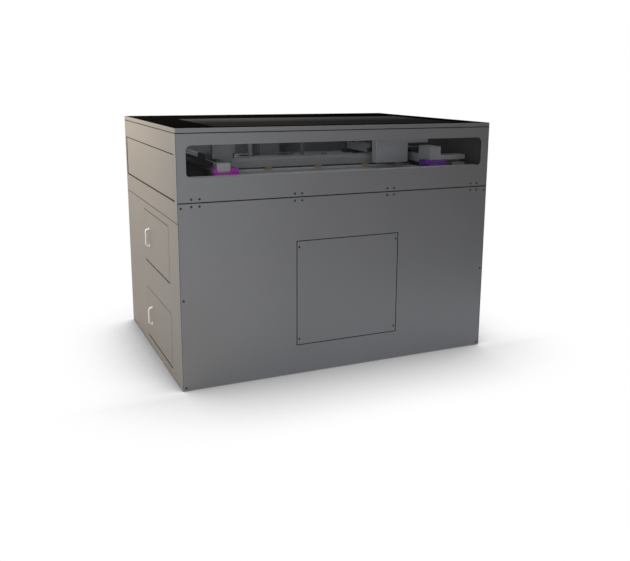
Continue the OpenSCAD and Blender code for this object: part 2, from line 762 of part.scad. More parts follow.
rib_z = beam_z + 18;
rib_h = 12;
rib_d = 7;
module x_beam() color(alu) place() difference() {
    union() {
        block([beam_x, beam_y, beam_z], [beam_x + beam_l, beam_back, beam_top]);
        block([beam_x + drive_w - 24, beam_y - rib_d, rib_z], [beam_x + beam_l - 10, beam_y + 1, rib_z + rib_h]);
    }
    block([beam_x - 1, beam_y + beam_wall, beam_z + 2 * beam_wall],
          [beam_x + beam_l + 1, beam_back - beam_wall, beam_top + 1]);
}

carriage_y = beam_y - 15;
module gantry_carriages() color(frame_grey) place() mirrored() difference() {
    union() {
        block([unit_in - unit_w / 2, carriage_y, unit_top + glide],
              [unit_in + unit_w / 2, carriage_y + carriage_l, carriage_top]);
        block([unit_in - 18, carriage_y, unit_z + unit_wall + 4], [unit_in + 18, carriage_y + carriage_l, unit_top + 1]);
    }
    bore_y(drive_r + fit, unit_in, y_screw_z, carriage_y - 1, carriage_y + carriage_l + 1);
}

drive_right = drive_x + drive_w;
riser_w = 26;
module gantry_bracket(x0, x1, riser_x0, riser_x1, tongue_x0, tongue_x1) difference() {
    union() {
        block([x0, carriage_y + 5, carriage_top], [x1, carriage_y + carriage_l - 5, carriage_top + plate_t]);
        block([riser_x0, beam_y, beam_top], [riser_x1, beam_back, carriage_top + 1]);
        block([tongue_x0, beam_y + beam_wall, beam_z + 2 * beam_wall],
              [tongue_x1, beam_back - beam_wall, beam_top + 1]);
    }
    bore_x(drive_r + fit, x_screw_y, x_screw_z, tongue_x0 - 1, tongue_x1 + 1);
}

module gantry_brackets() color(frame_grey) place() {
    gantry_bracket(unit_in - unit_w / 2, drive_right, beam_x, drive_right, beam_x, beam_x + riser_w);
    gantry_bracket(cab_w - beam_x - riser_w, cab_w - unit_in + unit_w / 2,
                   cab_w - beam_x - riser_w, cab_w - beam_x, cab_w - beam_x - riser_w, cab_w - beam_x);
}

drive_back = 40;
module x_drive_housing() color(alu) place() {
    drive_z = carriage_top + plate_t;
    drive_y = beam_back + drive_back;
    plate_x = drive_right - drive_lip;
    difference() {
        block([drive_x + 20, carriage_y, drive_z], [drive_right, drive_y, drive_z + drive_h]);
        for (i = [0:4]) block([drive_x + 34, drive_y - 3, drive_z + 16 + i * 10],
                              [drive_right - 14, drive_y + 1, drive_z + 20 + i * 10]);
    }
    // Front plate with a rounded upper corner, reaching down before the beam's end
    translate([0, carriage_y, 0]) rotate([90, 0, 0]) linear_extrude(plate_t) {
        translate([drive_x, unit_top + glide]) square([plate_x - drive_x, drive_z + drive_h - 6 - unit_top - glide]);
        translate([drive_x + 6, drive_z + drive_h - 7]) square([plate_x - drive_x - 6, 7]);
        translate([drive_x + 6, drive_z + drive_h - 6]) circle(6);
        translate([beam_x + 2, beam_z + beam_h / 2 + 4]) square([plate_x - beam_x - 2, drive_z - beam_z - beam_h / 2]);
    }
}

blade_y = beam_y + 3;
module recoater_blade() color(black) place() {
    block([xc - blade_w / 2, blade_y, beam_z - blade_h + 6], [xc + blade_w / 2, blade_y + 10, beam_z]);
    block([xc - blade_w / 2, blade_y + 3, beam_z - blade_h], [xc + blade_w / 2, blade_y + 5, beam_z - blade_h + 7]);
}

module blade_clamps() color(brass) place() for (i = [-1:1]) translate([xc + i * clamp_pitch, 0, 0]) {
    block([-clamp_w / 2, blade_y - 10, beam_z - 12], [clamp_w / 2, blade_y, beam_z]);
    bore_y(4, 0, beam_z - 6, blade_y - 13, blade_y - 9);
}

sensor_x = xc + 38;
module level_sensor() color(alu) place() {
    block([sensor_x, beam_back, beam_top - 40], [sensor_x + 30, beam_back + 16, beam_top - 2]);
    translate([sensor_x + 15, beam_back + 8, beam_top - 46]) cylinder(r = 6, h = 8);
}

module x_screw() color("silver") place() bore_x(drive_r, x_screw_y, x_screw_z, beam_x + 4, beam_x + beam_l - 4);

// ---------- Print head ----------

head_x = cab_w - unit_in - unit_w / 2 - head_gap - head_w;
saddle_w = head_w - 47;
saddle_x = head_x + (head_w - saddle_w) / 2;
saddle_y = beam_y - rib_d - 9;
saddle_top = beam_top + 10;
nut_l = 40;
module head_carriage() color(purple) place() difference() {
    union() {
        block([saddle_x, saddle_y, beam_z + 7], [saddle_x + saddle_w, saddle_y + 8, saddle_top]);
        block([saddle_x, saddle_y, beam_top + 2], [saddle_x + saddle_w, beam_back + 1, saddle_top]);
        block([head_x + 14, beam_back, beam_top + 2], [saddle_x + saddle_w, beam_back + 15, saddle_top + 12]);
        for (z = [[beam_z + 7, rib_z - glide], [rib_z + rib_h + glide, beam_top - 4]])
            block([saddle_x, saddle_y + 7, z[0]], [saddle_x + saddle_w, beam_y - glide, z[1]]);
        block([saddle_x + (saddle_w - nut_l) / 2, x_screw_y - 12, x_screw_z - 12],
              [saddle_x + (saddle_w + nut_l) / 2, x_screw_y + 12, beam_top + 3]);
    }
    bore_x(drive_r + fit, x_screw_y, x_screw_z, saddle_x, saddle_x + saddle_w);
}

head_z = beam_z + 5;
head_y = saddle_y - head_d;
head_top = head_z + head_hh;
hood_z = unit_z + tall_motor_h + hood_gap;
hood_rise = (head_top - hood_z) * 0.46;
hood_run = head_w * 0.61;
hood_r = (hood_run * hood_run + hood_rise * hood_rise) / (2 * hood_rise);
module head_housing() color(alu) place() difference() {
    union() {
        translate([head_x, head_y, head_z]) linear_extrude(head_hh) rounded_slot(head_w, head_d, 4);
        // Hood: its lower edge falls in an arc to the right and then runs level
        translate([head_x, head_y + head_d - 2, hood_z]) rotate([90, 0, 0]) linear_extrude(head_d + 6) union() {
            translate([hood_run, 0]) square([head_w + hood_over - hood_run, head_top - hood_z]);
            intersection() {
                square([hood_run + 1, head_top - hood_z]);
                translate([hood_run, hood_r]) circle(hood_r, $fn = 120);
            }
        }
        // Optics behind the front housing, over the saddle
        block([head_x + 14, head_y + head_d - 1, saddle_top + 14], [saddle_x + saddle_w, head_y + head_d + engine_d, head_top]);
    }
    for (i = [0:5]) translate([head_x + 30 + i * 22, head_y + head_d / 2 - 12, head_top - 6]) cube([8, 24, 7]);
}

module head_lens() color(black) place() translate([head_x + head_w / 2, head_y + head_d / 2, head_z - 12]) {
    difference() {
        cylinder(r = lens_r, h = 12);
        translate([0, 0, -1]) cylinder(r = lens_r - 4, h = 5);
    }
}

// ---------- Z axis ----------

column_z = deck_z - column_drop;
z_motor_h = 64;
coupling_h = 12;
way_w = 12;
way_d = 8;
way_x = column_w / 3;
bearing_low = column_z + 4 + z_motor_h + coupling_h;
bearing_high = arm_z - 21;
module z_column() color(frame_grey) place() {
    block([xc - column_w / 2, column_y, column_z], [xc + column_w / 2, post_y, arm_z + 5]);
    for (s = [-1, 1]) block([xc + s * way_x - way_w / 2, column_y - way_d, bearing_low],
                            [xc + s * way_x + way_w / 2, column_y + 1, arm_z]);
}

bearing_w = 56;
bearing_h = 18;
module z_bearings() color(alu) place() for (z = [bearing_low, bearing_high]) difference() {
    block([xc - bearing_w / 2, z_screw_y - 20, z], [xc + bearing_w / 2, column_y, z + bearing_h]);
    translate([xc, z_screw_y, z - 1]) cylinder(r = z_screw_r + fit, h = 20);
}

module z_motor() color(black) place() {
    block([xc - 28.5, z_screw_y - 28.5, bearing_low - coupling_h - z_motor_h],
          [xc + 28.5, column_y, bearing_low - coupling_h]);
    translate([xc, z_screw_y, bearing_low - coupling_h]) cylinder(r = 2 * z_screw_r, h = coupling_h);
}

module z_screw() color("silver") place() translate([xc, z_screw_y, bearing_low + 2])
    cylinder(r = z_screw_r, h = bearing_high - bearing_low + 14);

z_plate_z = platform_z + 14;
z_plate_w = 116;
z_plate_h = 125;
z_block_w = 28;
z_block_h = 30;
z_nut_w = 36;
z_nut_h = 35;
module z_carriage() color(alu) place() difference() {
    union() {
        block([xc - z_plate_w / 2, z_plate_y, z_plate_z], [xc + z_plate_w / 2, z_plate_y + 10, z_plate_z + z_plate_h]);
        for (s = [-1, 1], z = [5, z_plate_h - z_block_h - 5])
            block([xc + s * way_x - z_block_w / 2, z_plate_y + 9, z_plate_z + z],
                  [xc + s * way_x + z_block_w / 2, column_y - glide, z_plate_z + z + z_block_h]);
        block([xc - z_nut_w / 2, z_plate_y + 9, z_plate_z + (z_plate_h - z_nut_h) / 2],
              [xc + z_nut_w / 2, column_y - 3, z_plate_z + (z_plate_h + z_nut_h) / 2]);
    }
    for (s = [-1, 1]) block([xc + s * way_x - way_w / 2 - glide, column_y - way_d - glide, z_plate_z - 1],
                            [xc + s * way_x + way_w / 2 + glide, column_y + 1, z_plate_z + z_plate_h + 1]);
    translate([xc, z_screw_y, z_plate_z]) cylinder(r = z_screw_r + fit, h = z_plate_h);
}

module platform_arms() color(alu) place() {
    yoke_w = arm_gap + arm_w;
    yoke_top = arm_z + 18;
    block([xc - yoke_w / 2, yoke_y, z_plate_z + z_plate_h - 25], [xc + yoke_w / 2, z_plate_y, yoke_top]);
    for (s = [-1, 1]) translate([xc + s * arm_gap / 2, 0, 0]) {
        block([-arm_w / 2, platform_back, arm_z], [arm_w / 2, yoke_y + 1, yoke_top]);
        block([-arm_w / 2, platform_back, platform_z - 12], [arm_w / 2, platform_back + 15, arm_z + 1]);
    }
}

hole_pitch = 60;
hole_r = 8;
module build_platform() color(alu) place() {
    nx = floor((platform_w - 60) / hole_pitch);
    ny = floor((platform_d - 60) / hole_pitch);
    translate([xc - platform_w / 2, platform_y, platform_z]) linear_extrude(platform_t) difference() {
        square([platform_w, platform_d]);
        for (i = [0:nx], j = [0:ny])
            translate([platform_w / 2 + (i - nx / 2) * hole_pitch, platform_d / 2 + (j - ny / 2) * hole_pitch])
                circle(r = hole_r, $fn = 24);
    }
    translate([xc - platform_w / 2, platform_y, platform_z - 12]) linear_extrude(12) difference() {
        square([platform_w, platform_d]);
        translate([15, 15]) square([platform_w - 30, platform_d - 30]);
    }
}

// ---------- Electronics and services ----------

panel_x = vat_x - vat_t - 7 - tube + 12;
// Slotted wiring duct: an open channel with a comb of fingers on both sides and a snapped-on cover
module wiring_duct(l) difference() {
    translate([-duct_d, 0, 0]) cube([duct_d + 1, duct_w, l]);
    translate([2 - duct_d, 2, -1]) cube([duct_d - 4, duct_w - 4, l + 2]);
    for (i = [0:floor((l - 12) / duct_pitch)]) translate([4 - duct_d, -1, 6 + i * duct_pitch])
        cube([duct_d - 10, duct_w + 2, 5]);
}
module electronics_panel() color(alu) place() {
    block([panel_x, door_y - 40, upper_door_z - 40], [panel_x + 3, door_y + door_w + 60, deck_rail_z]);
    translate([panel_x, door_y + duct_y, upper_door_z]) wiring_duct(board_z + board_h + driver_gap + driver_size.z);
}

psu_size = [50, 215, 115];
psu_y = 20;
psu_z = 40;
module power_supply() color("silver") place()
    translate([panel_x - psu_size.x, door_y + psu_y, upper_door_z + psu_z]) difference() {
        cube(psu_size);
        for (i = [0:9]) translate([-1, psu_size.y * 0.14 + i * psu_size.y * 0.075, psu_size.z * 0.17])
            cube([3, 6, psu_size.z * 0.65]);
    }

duct_w = 24;
duct_d = 30;
duct_pitch = 16;
duct_y = psu_y + psu_size.y + 5;
board_y = duct_y + duct_w + 6;
board_z = 20;
board_l = 160;
board_h = 100;
board_post = 10;
board_t = 2;
chip_w = 40;
module control_board() color([0.05, 0.3, 0.12]) place()
    translate([panel_x, door_y + board_y, upper_door_z + board_z]) {
        translate([-board_post - board_t, 0, 0]) cube([board_t, board_l, board_h]);
        for (y = [8, board_l - 8], z = [8, board_h - 8])
            translate([-board_post, y, z]) rotate([0, 90, 0]) cylinder(r = 3, h = board_post);
        translate([-18, board_l / 2 - 30, (board_h - chip_w) / 2]) cube([7, chip_w, chip_w]);
        for (i = [0:3]) translate([-26, 12 + i * (board_l - 16) / 4, board_h - 20]) cube([15, 24, 12]);
    }

driver_size = [35, 34, 96];
driver_pitch = 44;
driver_gap = 15;
module motor_drivers() color(black) place()
    for (i = [0:3])
        translate([panel_x - driver_size.x, door_y + board_y + i * driver_pitch,
                   upper_door_z + board_z + board_h + driver_gap]) {
            cube(driver_size);
            translate([-6, 6, 8]) cube([7, driver_size.y - 12, 14]);
        }

fan_hub_r = 20;
fan_y = cab_d - skin - 38;
module fan_frame() color(black) place() {
    difference() {
        block([fan_x - fan_w / 2, fan_y, fan_z - fan_w / 2], [fan_x + fan_w / 2, fan_y + 38, fan_z + fan_w / 2]);
        bore_y(fan_w / 2 - 4, fan_x, fan_z, fan_y - 1, fan_y + 39);
    }
    difference() {
        union() {
            bore_y(fan_hub_r, fan_x, fan_z, fan_y, fan_y + 4);
            for (a = [45, 135]) translate([fan_x, fan_y + 2, fan_z]) rotate([0, a, 0])
                cube([fan_w - 6, 4, 5], center = true);
        }
        bore_y(3 + fit, fan_x, fan_z, fan_y - 1, fan_y + 5);
    }
}

module fan_rotor() color(black) place() {
    bore_y(fan_hub_r, fan_x, fan_z, fan_y + 5, fan_y + 34);
    bore_y(3, fan_x, fan_z, fan_y, fan_y + 6);
    for (i = [0:fan_n - 1]) translate([fan_x, fan_y + 20, fan_z]) rotate([0, i * 360 / fan_n, 0])
        translate([fan_hub_r - 2, 0, 0]) rotate([40, 0, 0]) translate([0, -1, -15]) cube([fan_w / 2 - fan_hub_r - 6, 2, 30]);
}

rocker_z = inlet_z + 17;
module power_inlet() color(black) place() difference() {
    union() {
        block([inlet_x - 16, cab_d, inlet_z - 34], [inlet_x + 16, cab_d + 2.5, inlet_z + 34]);
        block([inlet_x - 14, cab_d - 26, inlet_z - 31], [inlet_x + 14, cab_d + 1, inlet_z + 31]);
    }
    block([inlet_x - 11, cab_d - 16, inlet_z - 28], [inlet_x + 11, cab_d + 4, inlet_z - 6]);
    block([inlet_x - 10, cab_d - 12, rocker_z - 12], [inlet_x + 10, cab_d + 4, rocker_z + 12]);
    bore_x(1.5 + fit, cab_d - 3, rocker_z, inlet_x - 12, inlet_x + 12);
}

// The rocker rests tilted, at its off position
module rocker_switch() color(black) place() translate([inlet_x, cab_d - 3, rocker_z]) rotate([-8, 0, 0]) {
    bore_x(1.5, 0, 0, glide - 12, 12 - glide);
    intersection() {
        block([glide - 10, -5, -10.5], [10 - glide, 7, 10.5]);
        bore_x(11, -5, 0, -10, 10);
    }
}

levelling_feet();
frame_posts();
frame_rails();
base_pan();
front_upper_panel();
front_lower_panel();
left_upper_panel();
left_lower_panel();
right_panel();
back_panel();
window_pane();
window_sill();
access_cover();
cover_ring_frame();
panel_screws();
hinge_arms();
lid_hinge_bases();
deck_plate();
resin_vat();
drain_valve();
valve_lever();
y_units();
unit_brackets();
y_motors();
z_column();
z_bearings();
z_motor();
electronics_panel();
power_supply();
control_board();
motor_drivers();
fan_frame();
fan_rotor();
power_inlet();
rocker_switch();
lid_frame();
lid_pane();
lid_hinge_leaves();
upper_door();
upper_door_handle();
lower_door();
lower_door_handle();
hatch_panel();
x_beam();
gantry_carriages();
gantry_brackets();
x_drive_housing();
recoater_blade();
blade_clamps();
level_sensor();
head_carriage();
head_housing();
head_lens();
build_platform();
platform_arms();
z_carriage();
y_screw_left();
y_screw_right();
x_screw();
z_screw();
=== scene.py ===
# A large resin printer: a powder-coated sheet-metal cabinet on a square-tube frame. The file
# follows the machine as it is put together, from the frame up to the lid, after the studio.
# Everything is in metres: X to the right, Y to the back, Z up, the origin on the floor.
import json
import math

import bpy
from mathutils import Matrix, Vector

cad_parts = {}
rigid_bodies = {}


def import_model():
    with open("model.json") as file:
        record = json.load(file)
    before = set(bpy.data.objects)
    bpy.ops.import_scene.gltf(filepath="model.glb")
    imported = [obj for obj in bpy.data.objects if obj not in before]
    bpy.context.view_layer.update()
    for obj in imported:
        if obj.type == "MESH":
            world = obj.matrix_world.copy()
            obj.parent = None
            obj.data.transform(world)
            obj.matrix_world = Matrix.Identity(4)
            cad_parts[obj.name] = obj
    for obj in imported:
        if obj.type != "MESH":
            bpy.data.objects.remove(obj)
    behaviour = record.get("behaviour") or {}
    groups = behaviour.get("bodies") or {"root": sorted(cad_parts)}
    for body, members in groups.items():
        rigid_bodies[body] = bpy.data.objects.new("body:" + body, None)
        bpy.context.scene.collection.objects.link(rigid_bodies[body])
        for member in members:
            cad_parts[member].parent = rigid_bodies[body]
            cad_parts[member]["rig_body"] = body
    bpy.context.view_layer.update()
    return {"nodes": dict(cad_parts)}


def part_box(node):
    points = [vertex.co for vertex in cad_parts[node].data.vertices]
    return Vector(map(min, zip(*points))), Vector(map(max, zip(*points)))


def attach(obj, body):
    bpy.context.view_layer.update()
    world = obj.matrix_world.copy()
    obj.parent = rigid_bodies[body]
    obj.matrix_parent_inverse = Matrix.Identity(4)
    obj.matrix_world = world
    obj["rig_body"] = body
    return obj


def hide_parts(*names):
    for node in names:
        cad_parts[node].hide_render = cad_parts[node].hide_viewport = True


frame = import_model()

# ---------- Studio ----------
# The camera stands at the left front corner, a little above the lid. A warm lamp lights the left
# side from behind and above, a plain one and a low strip the front, and two faint ones under the
# lid stand for the daylight that its smoked middle lets in. The floor is pale, the room white.
camera_place = Vector((-1.4476, -3.5155, 1.2891))
camera_right = (0.90959, -0.41544, 0.00769)
camera_up = (0.07836, 0.18970, 0.97871)
camera_forward = (0.40806, 0.88962, -0.20511)
scene = bpy.context.scene
scene.view_settings.view_transform = "Standard"
camera_lens = bpy.data.cameras.new("camera")
camera_lens.sensor_width = 36
camera_lens.lens = 43.40
camera_lens.shift_x = -0.01696
camera_lens.shift_y = -0.0652
camera_lens.clip_end = 60
camera = bpy.data.objects.new("camera", camera_lens)
scene.collection.objects.link(camera)
turn = Matrix((camera_right, camera_up, [-part for part in camera_forward])).transposed()
camera.matrix_world = Matrix.Translation(camera_place) @ turn.to_4x4()
scene.camera = camera


def axes_of(tree, place):
    """The three sockets that hold X, Y and Z of a place."""
    axes = tree.nodes.new("ShaderNodeSeparateXYZ")
    tree.links.new(place, axes.inputs[0])
    return axes.outputs


def worked_out(tree, operation, first, second):
    """The result of one sum. Either value is a number or comes from another node."""
    step = tree.nodes.new("ShaderNodeMath")
    step.operation = operation
    for value, socket in zip((first, second), step.inputs):
        if isinstance(value, bpy.types.NodeSocket):
            tree.links.new(value, socket)
        else:
            socket.default_value = value
    return step.outputs[0]


def spread_over(tree, value, start, end, low, high):
    """Runs from low to high while the value goes from start to end."""
    span = tree.nodes.new("ShaderNodeMapRange")
    span.inputs["From Min"].default_value = start
    span.inputs["From Max"].default_value = end
    span.inputs["To Min"].default_value = low
    span.inputs["To Max"].default_value = high
    tree.links.new(value, span.inputs["Value"])
    return span.outputs[0]


def blended(tree, share, first, second):
    """The first colour, or the second where share is 1. Either may come from another node."""
    blend = tree.nodes.new("ShaderNodeMix")
    blend.data_type = "RGBA"
    tree.links.new(share, blend.inputs[0])
    for colour, socket in ((first, blend.inputs[6]), (second, blend.inputs[7])):
        if isinstance(colour, bpy.types.NodeSocket):
            tree.links.new(colour, socket)
        else:
            socket.default_value = (*colour, 1)
    return blend.outputs[2]


def seen_apart(tree, lit, seen, output):
    """Light meets lit, and the camera's rays, gloss and glass meet seen."""
    path = tree.nodes.new("ShaderNodeLightPath")
    sight = path.outputs["Is Camera Ray"]
    for name in ("Is Glossy Ray", "Is Transmission Ray"):
        sight = worked_out(tree, "MAXIMUM", sight, path.outputs[name])
    either = tree.nodes.new("ShaderNodeMixShader")
    tree.links.new(sight, either.inputs[0])
    tree.links.new(lit.outputs[0], either.inputs[1])
    tree.links.new(seen.outputs[0], either.inputs[2])
    tree.links.new(either.outputs[0], tree.nodes.new(output).inputs[0])


room_light = 0.28
warm_side, plain_side = (0.76, 0.63, 0.49), (0.96, 0.985, 1.0)
warm_end, plain_start = -0.9, 0.1
room = bpy.data.worlds.new("white_room")
scene.world = room
room.use_nodes = True
tree = room.node_tree
tree.nodes.clear()
heading = axes_of(tree, tree.nodes.new("ShaderNodeTexCoord").outputs["Generated"])
room_side = spread_over(tree, heading[0], warm_end, plain_start, 0, 1)
room_lit = tree.nodes.new("ShaderNodeBackground")
room_lit.inputs["Strength"].default_value = room_light
tree.links.new(blended(tree, room_side, warm_side, plain_side), room_lit.inputs["Color"])
room_seen = tree.nodes.new("ShaderNodeBackground")
room_seen.inputs["Color"].default_value = (1, 1, 1, 1)
seen_apart(tree, room_lit, room_seen, "ShaderNodeOutputWorld")

# The shadow is soft in front of the object, and falls off faster at its sides and behind it.
floor_size = 40
floor_albedo = 0.80
shadow_reach, shadow_samples = 0.60, 24
covered, open_to_room = 0.42, 0.97
front_end, side_start = -0.60, -0.40
front_depth, side_depth = 0.75, 1.00
front_fall, side_fall = 1.0, 2.6
bpy.ops.object.select_all(action="DESELECT")
bpy.ops.mesh.primitive_plane_add(size=floor_size, location=(0, 0, 0))
floor = bpy.context.active_object
floor.name = "studio_floor"
floor_paint = bpy.data.materials.new("floor_paint")
floor_paint.use_nodes = True
tree = floor_paint.node_tree
tree.nodes.clear()
floor_lit = tree.nodes.new("ShaderNodeBsdfDiffuse")
floor_lit.inputs["Color"].default_value = (floor_albedo, floor_albedo, floor_albedo, 1)
openness = tree.nodes.new("ShaderNodeAmbientOcclusion")
openness.samples = shadow_samples
openness.inputs["Distance"].default_value = shadow_reach
shadow = spread_over(tree, openness.outputs["AO"], covered, open_to_room, 1, 0)
to_back = axes_of(tree, tree.nodes.new("ShaderNodeTexCoord").outputs["Object"])[1]
fall = spread_over(tree, to_back, front_end, side_start, front_fall, side_fall)
depth = spread_over(tree, to_back, front_end, side_start, front_depth, side_depth)
shadow = worked_out(tree, "MULTIPLY", worked_out(tree, "POWER", shadow, fall), depth)
floor_seen = tree.nodes.new("ShaderNodeEmission")
tree.links.new(worked_out(tree, "SUBTRACT", 1, shadow), floor_seen.inputs["Strength"])
seen_apart(tree, floor_lit, floor_seen, "ShaderNodeOutputMaterial")
floor.data.materials.append(floor_paint)


def soft_lamp(name, place, target, size, power, colour):
    """A flat lamp that faces its target and isn't seen itself."""
    lamp = bpy.data.lights.new(name, "AREA")
    lamp.shape = "RECTANGLE"
    lamp.size, lamp.size_y = size
    lamp.energy = power
    lamp.color = colour
    lamp_object = bpy.data.objects.new(name, lamp)
    lamp_object.location = place
    towards = Vector(target) - Vector(place)
    lamp_object.rotation_euler = towards.to_track_quat("-Z", "Y").to_euler()
    lamp_object.visible_camera = False
    scene.collection.objects.link(lamp_object)


soft_lamp("warm_side_lamp", (-1.5, 0.62, 2.1), (-0.74, 0.1, 0.95), (0.9, 0.9), 71, (1.0, 0.80, 0.56))
soft_lamp("front_lamp", (-1.25, -1.75, 1.0), (-0.6, -0.545, 0.9), (0.8, 0.8), 11.5,
          (0.93, 0.965, 1.0))
soft_lamp("low_front_lamp", (0.25, -1.1, 0.08), (0.1, -0.545, 0.05), (1.7, 0.12), 1.35,
          (0.94, 0.97, 1.0))
soft_lamp("rear_glow", (-0.45, 0.0, 1.055), (-0.35, 0.545, 0.97), (0.5, 0.03), 0.75, (1.0, 1.0, 1.0))
soft_lamp("under_lid_lamp", (0, -0.04, 1.078), (0, -0.04, 0), (1.38, 1.0), 1.0, (1.0, 1.0, 1.0))

# ---------- Levelling feet ----------
# Four round feet under the corner posts: a moulded rubber pad on a short turned boss.
# Each screws up into its post, so the machine can be set level.
noise_low, noise_high = 0.3, 0.7


def finish(name, colour, roughness, metallic=0.0, gloss=0.5, tone=0.10, patch=5.0,
           grain=700.0, relief=0.00004, spread=0.06, stretch=(1, 1, 1)):
    """Paint, metal or plastic. Its colour drifts by tone over patches, a fine grain roughens it
    and lifts it by relief, and stretch draws the grain out along an axis."""
    made = bpy.data.materials.new(name)
    made.use_nodes = True
    tree = made.node_tree
    shader = tree.nodes["Principled BSDF"]
    shader.inputs["Metallic"].default_value = metallic
    shader.inputs["Specular IOR Level"].default_value = gloss
    where = tree.nodes.new("ShaderNodeTexCoord")
    along = tree.nodes.new("ShaderNodeMapping")
    along.inputs["Scale"].default_value = stretch
    tree.links.new(where.outputs["Object"], along.inputs["Vector"])
    patches = tree.nodes.new("ShaderNodeTexNoise")
    patches.inputs["Scale"].default_value = patch
    patches.inputs["Detail"].default_value = 4
    tree.links.new(along.outputs[0], patches.inputs["Vector"])
    shades = tree.nodes.new("ShaderNodeValToRGB")
    shades.color_ramp.elements[0].position = noise_low
    shades.color_ramp.elements[0].color = [part * (1 - tone) for part in colour] + [1]
    shades.color_ramp.elements[1].position = noise_high
    shades.color_ramp.elements[1].color = [min(1, part * (1 + tone)) for part in colour] + [1]
    tree.links.new(patches.outputs["Fac"], shades.inputs[0])
    tree.links.new(shades.outputs[0], shader.inputs["Base Color"])
    grains = tree.nodes.new("ShaderNodeTexNoise")
    grains.inputs["Scale"].default_value = grain
    grains.inputs["Detail"].default_value = 2
    tree.links.new(along.outputs[0], grains.inputs["Vector"])
    rough = spread_over(tree, grains.outputs["Fac"], noise_low, noise_high,
                        roughness - spread, roughness + spread)
    tree.links.new(rough, shader.inputs["Roughness"])
    lift = tree.nodes.new("ShaderNodeBump")
    lift.inputs["Distance"].default_value = relief
    tree.links.new(grains.outputs["Fac"], lift.inputs["Height"])
    tree.links.new(lift.outputs[0], shader.inputs["Normal"])
    return made


def shade_of(made, name):
    """The named node of a finish, such as its shader or its colour ramp."""
    return next(part for part in made.node_tree.nodes if part.bl_idname == name)


def paint(node, coat):
    """Gives a node its finish and leaves its shape as it is."""
    piece = frame["nodes"][node]
    piece.data.materials.clear()
    piece.data.materials.append(coat)


def only(piece):
    """Selects one piece and nothing else."""
    bpy.ops.object.select_all(action="DESELECT")
    piece.select_set(True)
    bpy.context.view_layer.objects.active = piece


def apply_all(piece):
    """Applies the piece's modifiers, so that its mesh is final."""
    only(piece)
    for modifier in list(piece.modifiers):
        bpy.ops.object.modifier_apply(modifier=modifier.name)


sharp_angle, flat_angle = math.radians(40), math.radians(0.5)
weld_reach = 0.00001


def broken_edges(piece, width, steps=2):
    """Rounds the sharp edges by width and keeps the flat faces flat."""
    only(piece)
    bevel = piece.modifiers.new("broken_edges", "BEVEL")
    bevel.width = width
    bevel.segments = steps
    bevel.limit_method = "ANGLE"
    bevel.angle_limit = sharp_angle
    bevel.use_clamp_overlap = True
    apply_all(piece)
    bpy.ops.object.shade_smooth_by_angle(angle=sharp_angle)
    even = piece.modifiers.new("even_faces", "WEIGHTED_NORMAL")
    even.keep_sharp = True
    apply_all(piece)


def eased(node, coat, width, steps=2):
    """The node's own shape with its doubles merged and its sharp edges broken."""
    piece = bpy.data.objects.new(node + "_eased", frame["nodes"][node].data.copy())
    scene.collection.objects.link(piece)
    only(piece)
    if piece.data.has_custom_normals:
        bpy.ops.mesh.customdata_custom_splitnormals_clear()
    bpy.ops.object.mode_set(mode="EDIT")
    bpy.ops.mesh.select_all(action="SELECT")
    bpy.ops.mesh.remove_doubles(threshold=weld_reach)
    bpy.ops.mesh.dissolve_limited(angle_limit=flat_angle)
    bpy.ops.object.mode_set(mode="OBJECT")
    broken_edges(piece, width, steps)
    piece.data.materials.clear()
    piece.data.materials.append(coat)
    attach(piece, frame["nodes"][node]["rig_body"])
    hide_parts(node)
    return piece


foot_rubber = finish("foot_rubber", (0.022, 0.022, 0.023), 0.75, gloss=0.3, grain=260, relief=0.0001)
moulded_edge = 0.0012
eased("levelling_feet", foot_rubber, moulded_edge)

# ---------- Frame ----------
# Posts and rails of 25 mm square steel tube, welded and painted dark grey, with a sheet-metal
# base pan that lies on the bottom rails.
frame_paint = finish("frame_paint", (0.016, 0.016, 0.018), 0.50, gloss=0.35, tone=0.14, patch=9,
                     grain=420)
tube_edge, sheet_edge = 0.0016, 0.0005
eased("frame_posts", frame_paint, tube_edge)
eased("frame_rails", frame_paint, tube_edge)
eased("base_pan", frame_paint, sheet_edge)

# ---------- Deck and vat ----------
# The deck is one thick aluminium plate, sawn and brushed. The vat hangs in it by its rim: a
# welded stainless tank with ground inner faces.
brushed_deck = finish("brushed_deck", (0.66, 0.67, 0.69), 0.50, metallic=0.15, tone=0.06, patch=2.2,
                      grain=60, relief=0.00003, stretch=(1, 14, 1))
vat_steel = finish("vat_steel", (0.62, 0.63, 0.64), 0.42, metallic=0.35, tone=0.08, patch=3.0,
                   grain=70, relief=0.00003, stretch=(14, 1, 3))
# Black sheet for the deck's side bays, and painted shade under the linear units.
black_sheet_and_painted_shade = finish("black_sheet_and_painted_shade", (0.010, 0.010, 0.011), 0.85, gloss=0.1, tone=0.2, patch=30, grain=900,
                  relief=0.0002)
sawn_edge, milled_edge, corner_steps = 0.0006, 0.0008, 5
eased("deck_plate", brushed_deck, sawn_edge)
eased("resin_vat", vat_steel, milled_edge)


